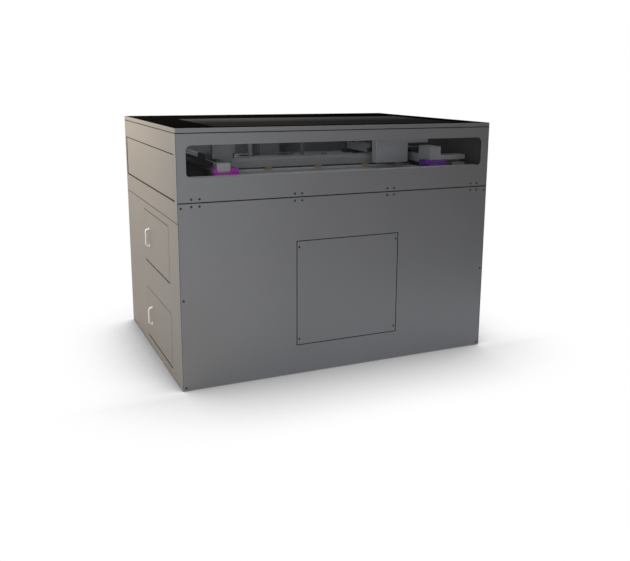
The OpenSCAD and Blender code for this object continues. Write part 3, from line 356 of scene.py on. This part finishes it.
def slab(name, low, high, coat, body="cabinet", corner=0.0, edge=0.0004):
    """A cut sheet or strip between two corners, with its outline rounded by corner."""
    bpy.ops.object.select_all(action="DESELECT")
    bpy.ops.mesh.primitive_plane_add(size=1, location=(0, 0, 0))
    piece = bpy.context.active_object
    piece.name = name
    bpy.ops.object.mode_set(mode="EDIT")
    bpy.ops.mesh.select_all(action="SELECT")
    size = [high[axis] - low[axis] for axis in range(3)]
    bpy.ops.transform.resize(value=(size[0], size[1], 1), center_override=(0, 0, 0))
    if corner:
        bpy.ops.mesh.bevel(offset=corner, segments=corner_steps, affect="VERTICES")
    bpy.ops.mesh.select_all(action="SELECT")
    bpy.ops.mesh.extrude_region_move(TRANSFORM_OT_translate={"value": (0, 0, size[2])})
    bpy.ops.mesh.select_all(action="SELECT")
    bpy.ops.transform.translate(value=((low[0] + high[0]) / 2, (low[1] + high[1]) / 2, low[2]))
    bpy.ops.mesh.normals_make_consistent(inside=False)
    bpy.ops.object.mode_set(mode="OBJECT")
    broken_edges(piece, edge)
    piece.data.materials.append(coat)
    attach(piece, body)


# Thin black sheets lie in the two side bays of the deck. Where they reach under the linear units they
# are painted shade, dark on the deck below each unit.
deck_low, deck_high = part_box("deck_plate")
bracket_low, bracket_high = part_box("unit_brackets")
motor_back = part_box("y_motors")[1][1]
unit_low, unit_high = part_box("y_units")
unit_width = 0.060
mat_gap, mat_thick, mat_corner = 0.005, 0.003, 0.012
front_bracket_depth, rear_bracket_depth = 0.090, 0.072
mat_front = bracket_low[1] + front_bracket_depth + mat_gap
mat_back = bracket_high[1] - rear_bracket_depth - mat_gap
mat_low, mat_high = deck_high[2], deck_high[2] + mat_thick
for name, left, right, front, back in (
        ("left_bay_mat", deck_low[0] + mat_gap, unit_low[0] + unit_width, mat_front, mat_back),
        ("left_front_mat", deck_low[0] + mat_gap, bracket_low[0] - mat_gap, bracket_low[1],
         mat_front - mat_gap),
        ("right_bay_mat", unit_high[0] - unit_width, deck_high[0] - mat_gap, motor_back, mat_back)):
    slab(name, (left, front, mat_low), (right, back, mat_high), black_sheet_and_painted_shade,
         corner=mat_corner)

# ---------- Drain valve ----------
# A turned brass ball valve under the vat, with a pressed steel lever in a dipped red grip.
valve_brass = finish("valve_brass", (0.62, 0.42, 0.17), 0.30, metallic=0.95, tone=0.12, patch=18,
                     grain=300, relief=0.00003)
dipped_red = finish("dipped_red", (0.50, 0.025, 0.02), 0.38, tone=0.08, patch=30, grain=420)
eased("drain_valve", valve_brass, milled_edge)
eased("valve_lever", dipped_red, moulded_edge)

# ---------- Y axis ----------
# Two linear units, each an extruded aluminium channel with a black sealing band, on brackets
# that are anodised purple where they show and dark elsewhere. A motor stands in front of each.
# Painted shade: the units' outer sides are black, and the purple darkens towards the right.
extruded_aluminium = finish("extruded_aluminium", (0.50, 0.51, 0.52), 0.40, metallic=0.55, tone=0.07,
                            patch=4, grain=90, relief=0.00003, stretch=(12, 1, 12))
purple_anodising_and_painted_shade = finish("purple_anodising_and_painted_shade", (0.48, 0.012, 0.52), 0.42, metallic=0.20, tone=0.10,
                          patch=14, grain=500)
# Painted shade: the purple goes from its own colour on the left to a darker, bluer purple on the
# right, where the inside is less lit.
painted_shade_start, painted_shade_end = -0.3, 0.4
purple_in_painted_shade = (0.14, 0.018, 0.34)
tree = purple_anodising_and_painted_shade.node_tree
across = axes_of(tree, shade_of(purple_anodising_and_painted_shade, "ShaderNodeTexCoord").outputs["Object"])[0]
purple_with_painted_shade = blended(tree, spread_over(tree, across, painted_shade_start, painted_shade_end, 0, 1),
              shade_of(purple_anodising_and_painted_shade, "ShaderNodeValToRGB").outputs[0], purple_in_painted_shade)
tree.links.new(purple_with_painted_shade, shade_of(purple_anodising_and_painted_shade, "ShaderNodeBsdfPrincipled").inputs["Base Color"])
motor_shell = finish("motor_shell", (0.37, 0.375, 0.38), 0.46, metallic=0.30, tone=0.06, patch=12,
                     grain=380)
band_black_and_painted_shade = finish("band_black_and_painted_shade", (0.022, 0.022, 0.024), 0.42, metallic=0.1, tone=0.1, patch=12,
                    grain=420)
carriage_steel = finish("carriage_steel", (0.034, 0.035, 0.038), 0.48, metallic=0.15, tone=0.10,
                        patch=10, grain=420)
cast_edge, motor_edge = 0.0010, 0.0025
facing = 0.9


def second_coat(piece, coat, chosen):
    """Gives the faces that chosen picks, by their middle and their normal, a second finish."""
    piece.data.materials.append(coat)
    for face in piece.data.polygons:
        if chosen(face.center, face.normal):
            face.material_index = 1


def cut_across(piece, axis, place):
    """Cuts the mesh along a plane and leaves both sides, so that each can have its own finish."""
    normal = Vector((0, 0, 0))
    normal[axis] = 1
    only(piece)
    bpy.ops.object.mode_set(mode="EDIT")
    bpy.ops.mesh.select_all(action="SELECT")
    bpy.ops.mesh.bisect(plane_co=normal * place, plane_no=normal)
    bpy.ops.object.mode_set(mode="OBJECT")


# A black band seals each unit's slot between two bright edges. Each unit's outer side is black as
# well, as painted shade.
edge_width = 0.008
units = eased("y_units", extruded_aluminium, sawn_edge)
bands = []
for side in (unit_low[0], unit_high[0] - unit_width):
    bands.append((side + edge_width, side + unit_width - edge_width))
    for place in bands[-1]:
        cut_across(units, 0, place)
second_coat(units, band_black_and_painted_shade, lambda middle, normal: (
    normal.z > facing and any(first < middle.x < last for first, last in bands)
    or normal.x < -facing and middle.x < unit_low[0] + edge_width
    or normal.x > facing and middle.x > unit_high[0] - edge_width))

purple_reach, purple_left, purple_right = 0.0, -0.5585, 0.5795
brackets = eased("unit_brackets", purple_anodising_and_painted_shade, cast_edge)
cut_across(brackets, 0, purple_left)
cut_across(brackets, 0, purple_right)
second_coat(brackets, carriage_steel, lambda middle, normal: (
    middle.y > purple_reach or not purple_left < middle.x < purple_right))
cable_grey = finish("cable_grey", (0.37, 0.375, 0.38), 0.50, metallic=0.15, tone=0.06, patch=12,
                    grain=380)
motors = eased("y_motors", motor_shell, motor_edge, steps=3)
second_coat(motors, cable_grey, lambda middle, normal: middle.x > 0)

# ---------- Drive screws ----------
# Ball screws of ground steel: a deep rounded groove runs along each rod, with a lead of 20 mm
# in two starts, or 10 mm in one on the Z axis.
ground_steel = finish("ground_steel", (0.56, 0.56, 0.57), 0.24, metallic=1.0, tone=0.08, patch=40,
                      grain=600)
turns_round, rings_a_groove = 18, 7
groove_depth, groove_share, plain_end = 0.14, 0.38, 0.030
groove_angle = math.radians(50)
fast_lead, slow_lead = 0.020, 0.010


def ball_screw(node, along, lead, starts):
    """A rod with rounded grooves that climb by lead in a turn, cut into all but its plain ends."""
    low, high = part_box(node)
    length = high[along] - low[along]
    radius = (high[along - 1] - low[along - 1]) / 2
    bpy.ops.object.select_all(action="DESELECT")
    bpy.ops.mesh.primitive_grid_add(x_subdivisions=turns_round, size=1, location=(0, 0, 0),
                                    y_subdivisions=int(length / lead * starts * rings_a_groove))
    rod = bpy.context.active_object
    rod.name = node + "_ground"
    for point in rod.data.vertices:
        turn = point.co.x + 0.5
        reach = (point.co.y + 0.5) * length
        phase = (reach / lead - turn) * starts % 1
        hollow = max(0, 1 - ((phase - 0.5) / groove_share) ** 2) ** 0.5
        if min(reach, length - reach) < plain_end:
            hollow = 0
        out = radius * (1 - groove_depth * hollow)
        angle = 2 * math.pi * turn
        point.co = (out * math.cos(angle), out * math.sin(angle), reach - length / 2)
    axis = Vector((0, 0, 0))
    axis[along] = 1
    stand = Vector((0, 0, 1)).rotation_difference(axis).to_matrix().to_4x4()
    middle = Vector([(low[side] + high[side]) / 2 for side in range(3)])
    rod.data.transform(Matrix.Translation(middle) @ stand)
    bpy.ops.object.mode_set(mode="EDIT")
    bpy.ops.mesh.select_all(action="SELECT")
    bpy.ops.mesh.remove_doubles(threshold=weld_reach)
    bpy.ops.mesh.fill_holes(sides=0)
    bpy.ops.mesh.select_all(action="SELECT")
    bpy.ops.mesh.normals_make_consistent(inside=False)
    bpy.ops.object.mode_set(mode="OBJECT")
    bpy.ops.object.shade_smooth_by_angle(angle=groove_angle)
    rod.data.materials.append(ground_steel)
    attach(rod, frame["nodes"][node]["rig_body"])
    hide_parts(node)


for node in ("y_screw_left", "y_screw_right"):
    ball_screw(node, 1, fast_lead, 2)
ball_screw("x_screw", 0, fast_lead, 2)
ball_screw("z_screw", 2, slow_lead, 1)

# ---------- Z axis ----------
# A folded steel column with two ways, a motor under it, and a carriage whose yoke and two
# arms carry the perforated build platform over the vat's rear wall.
machined_aluminium = finish("machined_aluminium", (0.52, 0.525, 0.53), 0.36, metallic=0.70, tone=0.07,
                            patch=7, grain=160, relief=0.00003)
black_motor = finish("black_motor", (0.020, 0.020, 0.022), 0.42, tone=0.2, patch=20, grain=420)
column_paint = finish("column_paint", (0.17, 0.172, 0.178), 0.55, gloss=0.3, tone=0.12, patch=8,
                      grain=420)
case_edge = 0.0015
eased("z_column", column_paint, cast_edge)
eased("z_bearings", machined_aluminium, milled_edge)
eased("z_motor", black_motor, case_edge)
eased("z_carriage", column_paint, milled_edge)
eased("platform_arms", column_paint, cast_edge)
platform_plate = finish("platform_plate", (0.70, 0.71, 0.72), 0.50, metallic=0.10, tone=0.05, patch=6,
                        grain=160, relief=0.00003)
paint("build_platform", platform_plate)

# ---------- Gantry ----------
# The beam is an extruded channel with a guide rib. Steel carriages run on the Y units, bracket
# plates join them to the beam, and a drive housing stands on the left one. Brass blocks clamp
# the recoater blade under the beam, and a level sensor is fixed behind it.
beam_aluminium = finish("beam_aluminium", (0.31, 0.315, 0.32), 0.42, metallic=0.45, tone=0.07,
                        patch=4, grain=90, relief=0.00003, stretch=(1, 12, 12))
drive_shell = finish("drive_shell", (0.22, 0.224, 0.23), 0.50, metallic=0.10, tone=0.06, patch=8,
                     grain=420)
blade_rubber = finish("blade_rubber", (0.020, 0.020, 0.022), 0.55, gloss=0.3, tone=0.15, patch=12,
                      grain=300)
clamp_brass = finish("clamp_brass", (0.40, 0.29, 0.16), 0.42, metallic=0.55, tone=0.12, patch=20,
                     grain=380)
housing_edge = 0.0020
eased("x_beam", beam_aluminium, sawn_edge)
eased("gantry_carriages", carriage_steel, cast_edge)
eased("gantry_brackets", carriage_steel, milled_edge)
eased("x_drive_housing", drive_shell, housing_edge, steps=3)
blade_steel = finish("blade_steel", (0.60, 0.61, 0.62), 0.42, metallic=0.25, tone=0.06, patch=20,
                     grain=300, relief=0.00002)
wiper_height = 0.0075
wiper_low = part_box("recoater_blade")[1][2] - wiper_height
blade = eased("recoater_blade", blade_rubber, sheet_edge)
cut_across(blade, 2, wiper_low)
second_coat(blade, blade_steel, lambda middle, normal: middle.z < wiper_low)
eased("blade_clamps", clamp_brass, milled_edge)
eased("level_sensor", drive_shell, case_edge)
sensor_low, sensor_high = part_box("level_sensor")
plug_inset, plug_height, plug_corner, plug_edge = 0.002, 0.010, 0.003, 0.0010
slab("sensor_plug", (sensor_low[0], sensor_low[1] + plug_inset, sensor_high[2]),
     (sensor_high[0], sensor_high[1] - plug_inset, sensor_high[2] + plug_height),
     drive_shell, body="gantry", corner=plug_corner, edge=plug_edge)

# ---------- Print head ----------
# A tall folded housing over a machined carriage, with cooling slots in its top, a black optics
# box at its back and a lens barrel that looks down into the vat.
head_shell = finish("head_shell", (0.40, 0.41, 0.43), 0.48, metallic=0.10, tone=0.05, patch=7,
                    grain=420)
barrel_black = finish("barrel_black", (0.014, 0.014, 0.016), 0.30, tone=0.2, patch=30, grain=400)
violet_start = 0.36
saddle = eased("head_carriage", purple_anodising_and_painted_shade, milled_edge)
cut_across(saddle, 0, violet_start)
second_coat(saddle, carriage_steel, lambda middle, normal: middle.x < violet_start)
optics_black = finish("optics_black", (0.030, 0.030, 0.032), 0.50, tone=0.12, patch=14, grain=420)
optics_front = -0.262
housing = eased("head_housing", head_shell, moulded_edge)
second_coat(housing, optics_black, lambda middle, normal: middle.y > optics_front)
eased("head_lens", barrel_black, milled_edge)

# ---------- Electronics ----------
# A zinc-plated mounting plate behind the upper door, with a perforated power supply, a green
# control board on pillars and a row of black motor drivers.
zinc_plate = finish("zinc_plate", (0.50, 0.50, 0.49), 0.40, metallic=0.80, tone=0.16, patch=26,
                    grain=200)
supply_steel = finish("supply_steel", (0.55, 0.56, 0.57), 0.38, metallic=0.75, tone=0.10, patch=12,
                      grain=300)
board_green = finish("board_green", (0.012, 0.085, 0.030), 0.36, tone=0.35, patch=130, grain=900)
driver_black = finish("driver_black", (0.022, 0.022, 0.024), 0.52, tone=0.15, patch=30, grain=500)
eased("electronics_panel", zinc_plate, sheet_edge)
eased("power_supply", supply_steel, milled_edge)
board_face = -0.4571
fine_edge = 0.0003
board = eased("control_board", board_green, fine_edge)
second_coat(board, driver_black, lambda middle, normal: middle.x < board_face)
eased("motor_drivers", driver_black, milled_edge)

# ---------- Exhaust fan ----------
# A boxed axial fan of black glass-filled plastic, screwed to the back panel behind its vents.
fan_plastic = finish("fan_plastic", (0.018, 0.018, 0.019), 0.48, tone=0.12, patch=20, grain=420)
thin_edge = 0.0004
eased("fan_frame", fan_plastic, cast_edge)
eased("fan_rotor", fan_plastic, thin_edge)

# ---------- Mains inlet ----------
# A moulded inlet with a socket and a rocker, clipped into the back panel.
eased("power_inlet", fan_plastic, sawn_edge)
eased("rocker_switch", fan_plastic, sawn_edge)

# ---------- Cabinet panels ----------
# Laser-cut 2 mm steel sheet in one grey powder coat, with a faint orange peel. The panels meet
# at 2 mm gaps, and the coat is darker inside. The window has an aluminium sill, painted near
# white and not metallic as painted light on its top.
powder_coat = finish("powder_coat", (0.168, 0.171, 0.180), 0.55, gloss=0.30, tone=0.035, patch=1.6,
                     grain=520, relief=0.00003, spread=0.04)
inner_primer = finish("inner_primer", (0.15, 0.153, 0.16), 0.62, gloss=0.2, tone=0.05, patch=3,
                      grain=520)
inner_dark = finish("inner_dark", (0.075, 0.077, 0.080), 0.62, gloss=0.2, tone=0.05, patch=3,
                    grain=520)
for node in ("front_upper_panel", "front_lower_panel", "left_lower_panel", "access_cover"):
    eased(node, powder_coat, sheet_edge)
for node, inner_coat, inward in (("back_panel", inner_primer, Vector((0, -1, 0))),
                                 ("right_panel", inner_dark, Vector((-1, 0, 0))),
                                 ("left_upper_panel", inner_dark, Vector((1, 0, 0)))):
    second_coat(eased(node, powder_coat, sheet_edge), inner_coat,
                lambda middle, normal: normal.dot(inward) > facing)
eased("cover_ring_frame", frame_paint, sheet_edge)
# Painted light: the sill is near white and not metallic, so that its top reads as brightly lit.
sill_aluminium_and_painted_light = finish("sill_aluminium_and_painted_light", (0.86, 0.87, 0.88), 0.40, metallic=0.0, tone=0.03,
                        patch=8, grain=160, relief=0.00002)
eased("window_sill", sill_aluminium_and_painted_light, thin_edge)

# ---------- Seam lips as painted shade ---
# Black rubber lips, pushed on the sheet edges from outside: along the seams between the upper
# and lower panels, round the access cover and under the lid, and at the hatch and the doors.
# They are painted shade: each lip widens the dark line of its gap, by a width of its own.
seal_rubber_as_painted_shade = finish("seal_rubber_as_painted_shade", (0.006, 0.006, 0.006), 0.7, gloss=0.15, tone=0.2, patch=40,
                     grain=600)
lip, lip_edge = 0.0004, 0.0003
seam_lip, cover_lip, lid_lip = 0.0048, 0.0038, 0.0036
lid_shade_lip_width = 0.0045
hatch_lip, hatch_rear_lip, hatch_lip_edge, seam_gap = 0.0070, 0.020, 0.0002, 0.002
side_lip_depth, side_lip_below, side_lip_above = 0.0018, 0.0005, 0.0025
door_low_lip, upper_top_lip, lower_top_lip = 0.0065, 0.0035, 0.0020


def shade_lip_ring(name, low, high, width, axis, depth):
    """A lip of one width round a rectangle, seen along axis. It reaches from the face into the
    gap by depth."""
    bpy.ops.object.select_all(action="DESELECT")
    bpy.ops.mesh.primitive_plane_add(size=1, location=(0, 0, 0))
    piece = bpy.context.active_object
    piece.name = name
    bpy.ops.object.mode_set(mode="EDIT")
    bpy.ops.mesh.select_all(action="SELECT")
    across = 1 if axis == "Z" else 2
    size = (high[0] - low[0], high[across] - low[across])
    bpy.ops.transform.resize(value=(size[0], size[1], 1), center_override=(0, 0, 0))
    bpy.ops.mesh.inset(thickness=width)
    bpy.ops.mesh.delete(type="FACE")
    bpy.ops.mesh.select_all(action="SELECT")
    bpy.ops.mesh.extrude_region_move(TRANSFORM_OT_translate={"value": (0, 0, depth)})
    bpy.ops.object.mode_set(mode="OBJECT")
    middle = Vector(((low[0] + high[0]) / 2, (low[1] + high[1]) / 2, low[2]))
    stand = Matrix.Identity(4)
    if axis == "Y":
        stand = Matrix.Rotation(math.radians(90), 4, "X")
        middle = Vector(((low[0] + high[0]) / 2, high[1], (low[2] + high[2]) / 2))
    piece.data.transform(Matrix.Translation(middle) @ stand)
    only(piece)
    bpy.ops.object.mode_set(mode="EDIT")
    bpy.ops.mesh.select_all(action="SELECT")
    bpy.ops.mesh.normals_make_consistent(inside=False)
    bpy.ops.object.mode_set(mode="OBJECT")
    broken_edges(piece, lip_edge)
    piece.data.materials.append(seal_rubber_as_painted_shade)
    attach(piece, "cabinet")


upper_low, upper_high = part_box("front_upper_panel")
lower_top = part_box("front_lower_panel")[1][2]
seam_middle = (upper_low[2] + lower_top) / 2
slab("front_seam_shade_lip", (upper_low[0], upper_low[1] - lip, seam_middle - seam_lip / 2),
     (upper_high[0], upper_high[1], seam_middle + seam_lip / 2),
     seal_rubber_as_painted_shade, edge=lip_edge)
cover_low, cover_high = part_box("access_cover")
out = (upper_low[2] - lower_top) / 2 + cover_lip / 2
shade_lip_ring("cover_shade_lip", (cover_low[0] - out, cover_low[1] - lip, cover_low[2] - out),
          (cover_high[0] + out, cover_high[1], cover_high[2] + out),
          cover_lip, "Y", cover_high[1] - cover_low[1] + lip)
lid_low, lid_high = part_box("lid_frame")
back_low, back_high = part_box("back_panel")
shade_lip_ring("lid_shade_lip", (lid_low[0] - lip, lid_low[1] - lip, lid_low[2] - lid_lip),
          (lid_high[0], back_low[1], lid_low[2]), lid_shade_lip_width, "Z", lid_lip)
hatch_low, hatch_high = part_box("hatch_panel")
hatch_bottom, hatch_top = hatch_low[2] - hatch_lip, hatch_high[2] + seam_lip
hatch_back = hatch_high[1] + hatch_rear_lip
for name, front, bottom, top in (
        ("hatch_low_shade_lip", hatch_low[1], hatch_bottom, hatch_low[2]),
        ("hatch_top_shade_lip", hatch_low[1], hatch_high[2] + seam_gap, hatch_top),
        ("hatch_rear_shade_lip", hatch_high[1] + lip, hatch_bottom, hatch_top)):
    slab(name, (hatch_low[0] - lip, front, bottom), (hatch_low[0], hatch_back, top),
         seal_rubber_as_painted_shade, edge=hatch_lip_edge)
side_low, side_high = hatch_low[0] - lip, hatch_low[0] + side_lip_depth
wall_low, wall_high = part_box("left_lower_panel")
slab("side_seam_shade_lip", (side_low, wall_low[1], wall_high[2] - side_lip_below),
     (side_high, wall_high[1], wall_high[2] + side_lip_above),
     seal_rubber_as_painted_shade, edge=lip_edge)
for node, door_top_lip in (("upper_door", upper_top_lip), ("lower_door", lower_top_lip)):
    door_low, door_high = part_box(node)
    slab(node + "_top_shade_lip", (side_low, door_low[1], door_high[2]),
         (side_high, door_high[1], door_high[2] + door_top_lip),
         seal_rubber_as_painted_shade, edge=lip_edge)
    slab(node + "_low_shade_lip", (side_low, door_low[1], door_low[2] - door_low_lip),
         (side_high, door_high[1], door_low[2]), seal_rubber_as_painted_shade, edge=lip_edge)

# ---------- Window ----------
# A clear acrylic pane, laser-cut and held behind the upper front panel.
pane_acrylic = finish("pane_acrylic", (0.012, 0.013, 0.014), 0.06, gloss=0.25, tone=0.02, patch=2,
                      grain=30, relief=0.0, spread=0.01)
pane_cover = 0.12
shade_of(pane_acrylic, "ShaderNodeBsdfPrincipled").inputs["Alpha"].default_value = pane_cover
paint("window_pane", pane_acrylic)

# ---------- Panel screws ----------
# Black button-head screws, in pairs along the seam between the front panels, down both front
# edges and at the corners of the access cover. Those round the back panel have a hexagon socket.
screw_black = finish("screw_black", (0.012, 0.012, 0.013), 0.35, metallic=0.4, tone=0.2, patch=60,
                     grain=500)
screw_edge = 0.0002
eased("panel_screws", screw_black, screw_edge)
head_radius, head_height, head_round = 0.0050, 0.0026, 0.0012
socket_radius, socket_depth = 0.0018, 0.0014
head_sides, socket_sides = 24, 6
screw_inset, screws_across, screws_up = 0.016, 7, 4

bpy.ops.object.select_all(action="DESELECT")
bpy.ops.mesh.primitive_cylinder_add(vertices=socket_sides, radius=socket_radius,
                                    depth=2 * socket_depth, location=(0, 0, head_height))
socket = bpy.context.active_object
bpy.ops.object.select_all(action="DESELECT")
bpy.ops.mesh.primitive_cylinder_add(vertices=head_sides, radius=head_radius, depth=head_height,
                                    location=(0, 0, head_height / 2))
bpy.ops.object.transform_apply(location=True)
button = bpy.context.active_object
button.name = "back_panel_screws"
broken_edges(button, head_round, steps=3)
hollow = button.modifiers.new("socket", "BOOLEAN")
hollow.object = socket
hollow.operation = "DIFFERENCE"
hollow.solver = "EXACT"
apply_all(button)
bpy.data.objects.remove(socket)
button.data.transform(Matrix.Rotation(math.radians(-90), 4, "X"))
button.data.materials.append(screw_black)
row_length = back_high[0] - back_low[0] - 2 * screw_inset
column_height = back_high[2] - back_low[2] - 2 * screw_inset
copies = []
for column in range(screws_across):
    for row in range(screws_up):
        if 0 < column < screws_across - 1 and 0 < row < screws_up - 1:
            continue
        x = back_low[0] + screw_inset + row_length * column / (screws_across - 1)
        z = back_low[2] + screw_inset + column_height * row / (screws_up - 1)
        copy = bpy.data.objects.new("screw", button.data.copy())
        copy.data.transform(Matrix.Translation((x, back_high[1], z)))
        scene.collection.objects.link(copy)
        copies.append(copy)
button.data.clear_geometry()
only(button)
for copy in copies:
    copy.select_set(True)
bpy.ops.object.join()
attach(button, "cabinet")

# ---------- Doors and hatch ----------
# Folded leaves on concealed goose-neck hinges, flush with the left side.
hinge_steel = finish("hinge_steel", (0.16, 0.165, 0.17), 0.40, metallic=0.7, tone=0.12, patch=30,
                     grain=420)
eased("hinge_arms", hinge_steel, thin_edge)
for node in ("upper_door", "lower_door", "hatch_panel"):
    eased(node, powder_coat, sheet_edge)

# ---------- Door handles ----------
# Slim bow handles of drawn rod in white gloss enamel, screwed through the leaf from inside.
white_enamel = finish("white_enamel", (0.70, 0.71, 0.76), 0.30, tone=0.02, patch=40, grain=300)
for node in ("upper_door_handle", "lower_door_handle"):
    paint(node, white_enamel)

# ---------- Lid ----------
# A folded steel rim that carries one dark acrylic pane, printed black round a smoked middle.
# The middle is painted paler to the back and away from its left end: painted light, for the lit
# inside seen through the smoke. Four friction hinges join it to the back panel from outside.
eased("lid_frame", powder_coat, sawn_edge)
hinge_alloy = finish("hinge_alloy", (0.42, 0.42, 0.43), 0.38, metallic=0.8, tone=0.10, patch=30,
                     grain=300)
eased("lid_hinge_bases", hinge_alloy, fine_edge)
eased("lid_hinge_leaves", hinge_alloy, fine_edge)
lid_acrylic_and_painted_light = finish("lid_acrylic_and_painted_light", (0.0028, 0.0029, 0.0034), 0.45, gloss=0.0, tone=0.1, patch=3,
                     grain=40, relief=0.0, spread=0.05)
lit_smoke_colour, unlit_smoke_colour = (0.128, 0.148, 0.184), (0.010, 0.011, 0.014)
smoked_low, smoked_high = (-0.552, -0.468), (0.640, 0.165)
smoked_edge = 0.004
# Along X and along Y: where the painted light in the smoke starts and stops growing, and its share
# there.
painted_light_along = ((-0.50, -0.20, 0.25, 0.46), (-0.20, 0.10, 0.14, 0.95))
tree = lid_acrylic_and_painted_light.node_tree
place = axes_of(tree, shade_of(lid_acrylic_and_painted_light, "ShaderNodeTexCoord").outputs["Object"])
smoked, painted_light_share = [], []
for axis in (0, 1):
    middle = (smoked_low[axis] + smoked_high[axis]) / 2
    half = (smoked_high[axis] - smoked_low[axis]) / 2
    reach = worked_out(tree, "ABSOLUTE", worked_out(tree, "SUBTRACT", place[axis], middle), 0)
    smoked.append(spread_over(tree, reach, half - smoked_edge, half + smoked_edge, 1, 0))
    painted_light_share.append(spread_over(tree, place[axis], *painted_light_along[axis]))
smoke_with_painted_light = blended(tree, worked_out(tree, "MULTIPLY", *painted_light_share), unlit_smoke_colour, lit_smoke_colour)
print_black = shade_of(lid_acrylic_and_painted_light, "ShaderNodeValToRGB").outputs[0]
pane_colour = blended(tree, worked_out(tree, "MULTIPLY", *smoked), print_black, smoke_with_painted_light)
tree.links.new(pane_colour, shade_of(lid_acrylic_and_painted_light, "ShaderNodeBsdfPrincipled").inputs["Base Color"])
eased("lid_pane", lid_acrylic_and_painted_light, sawn_edge)
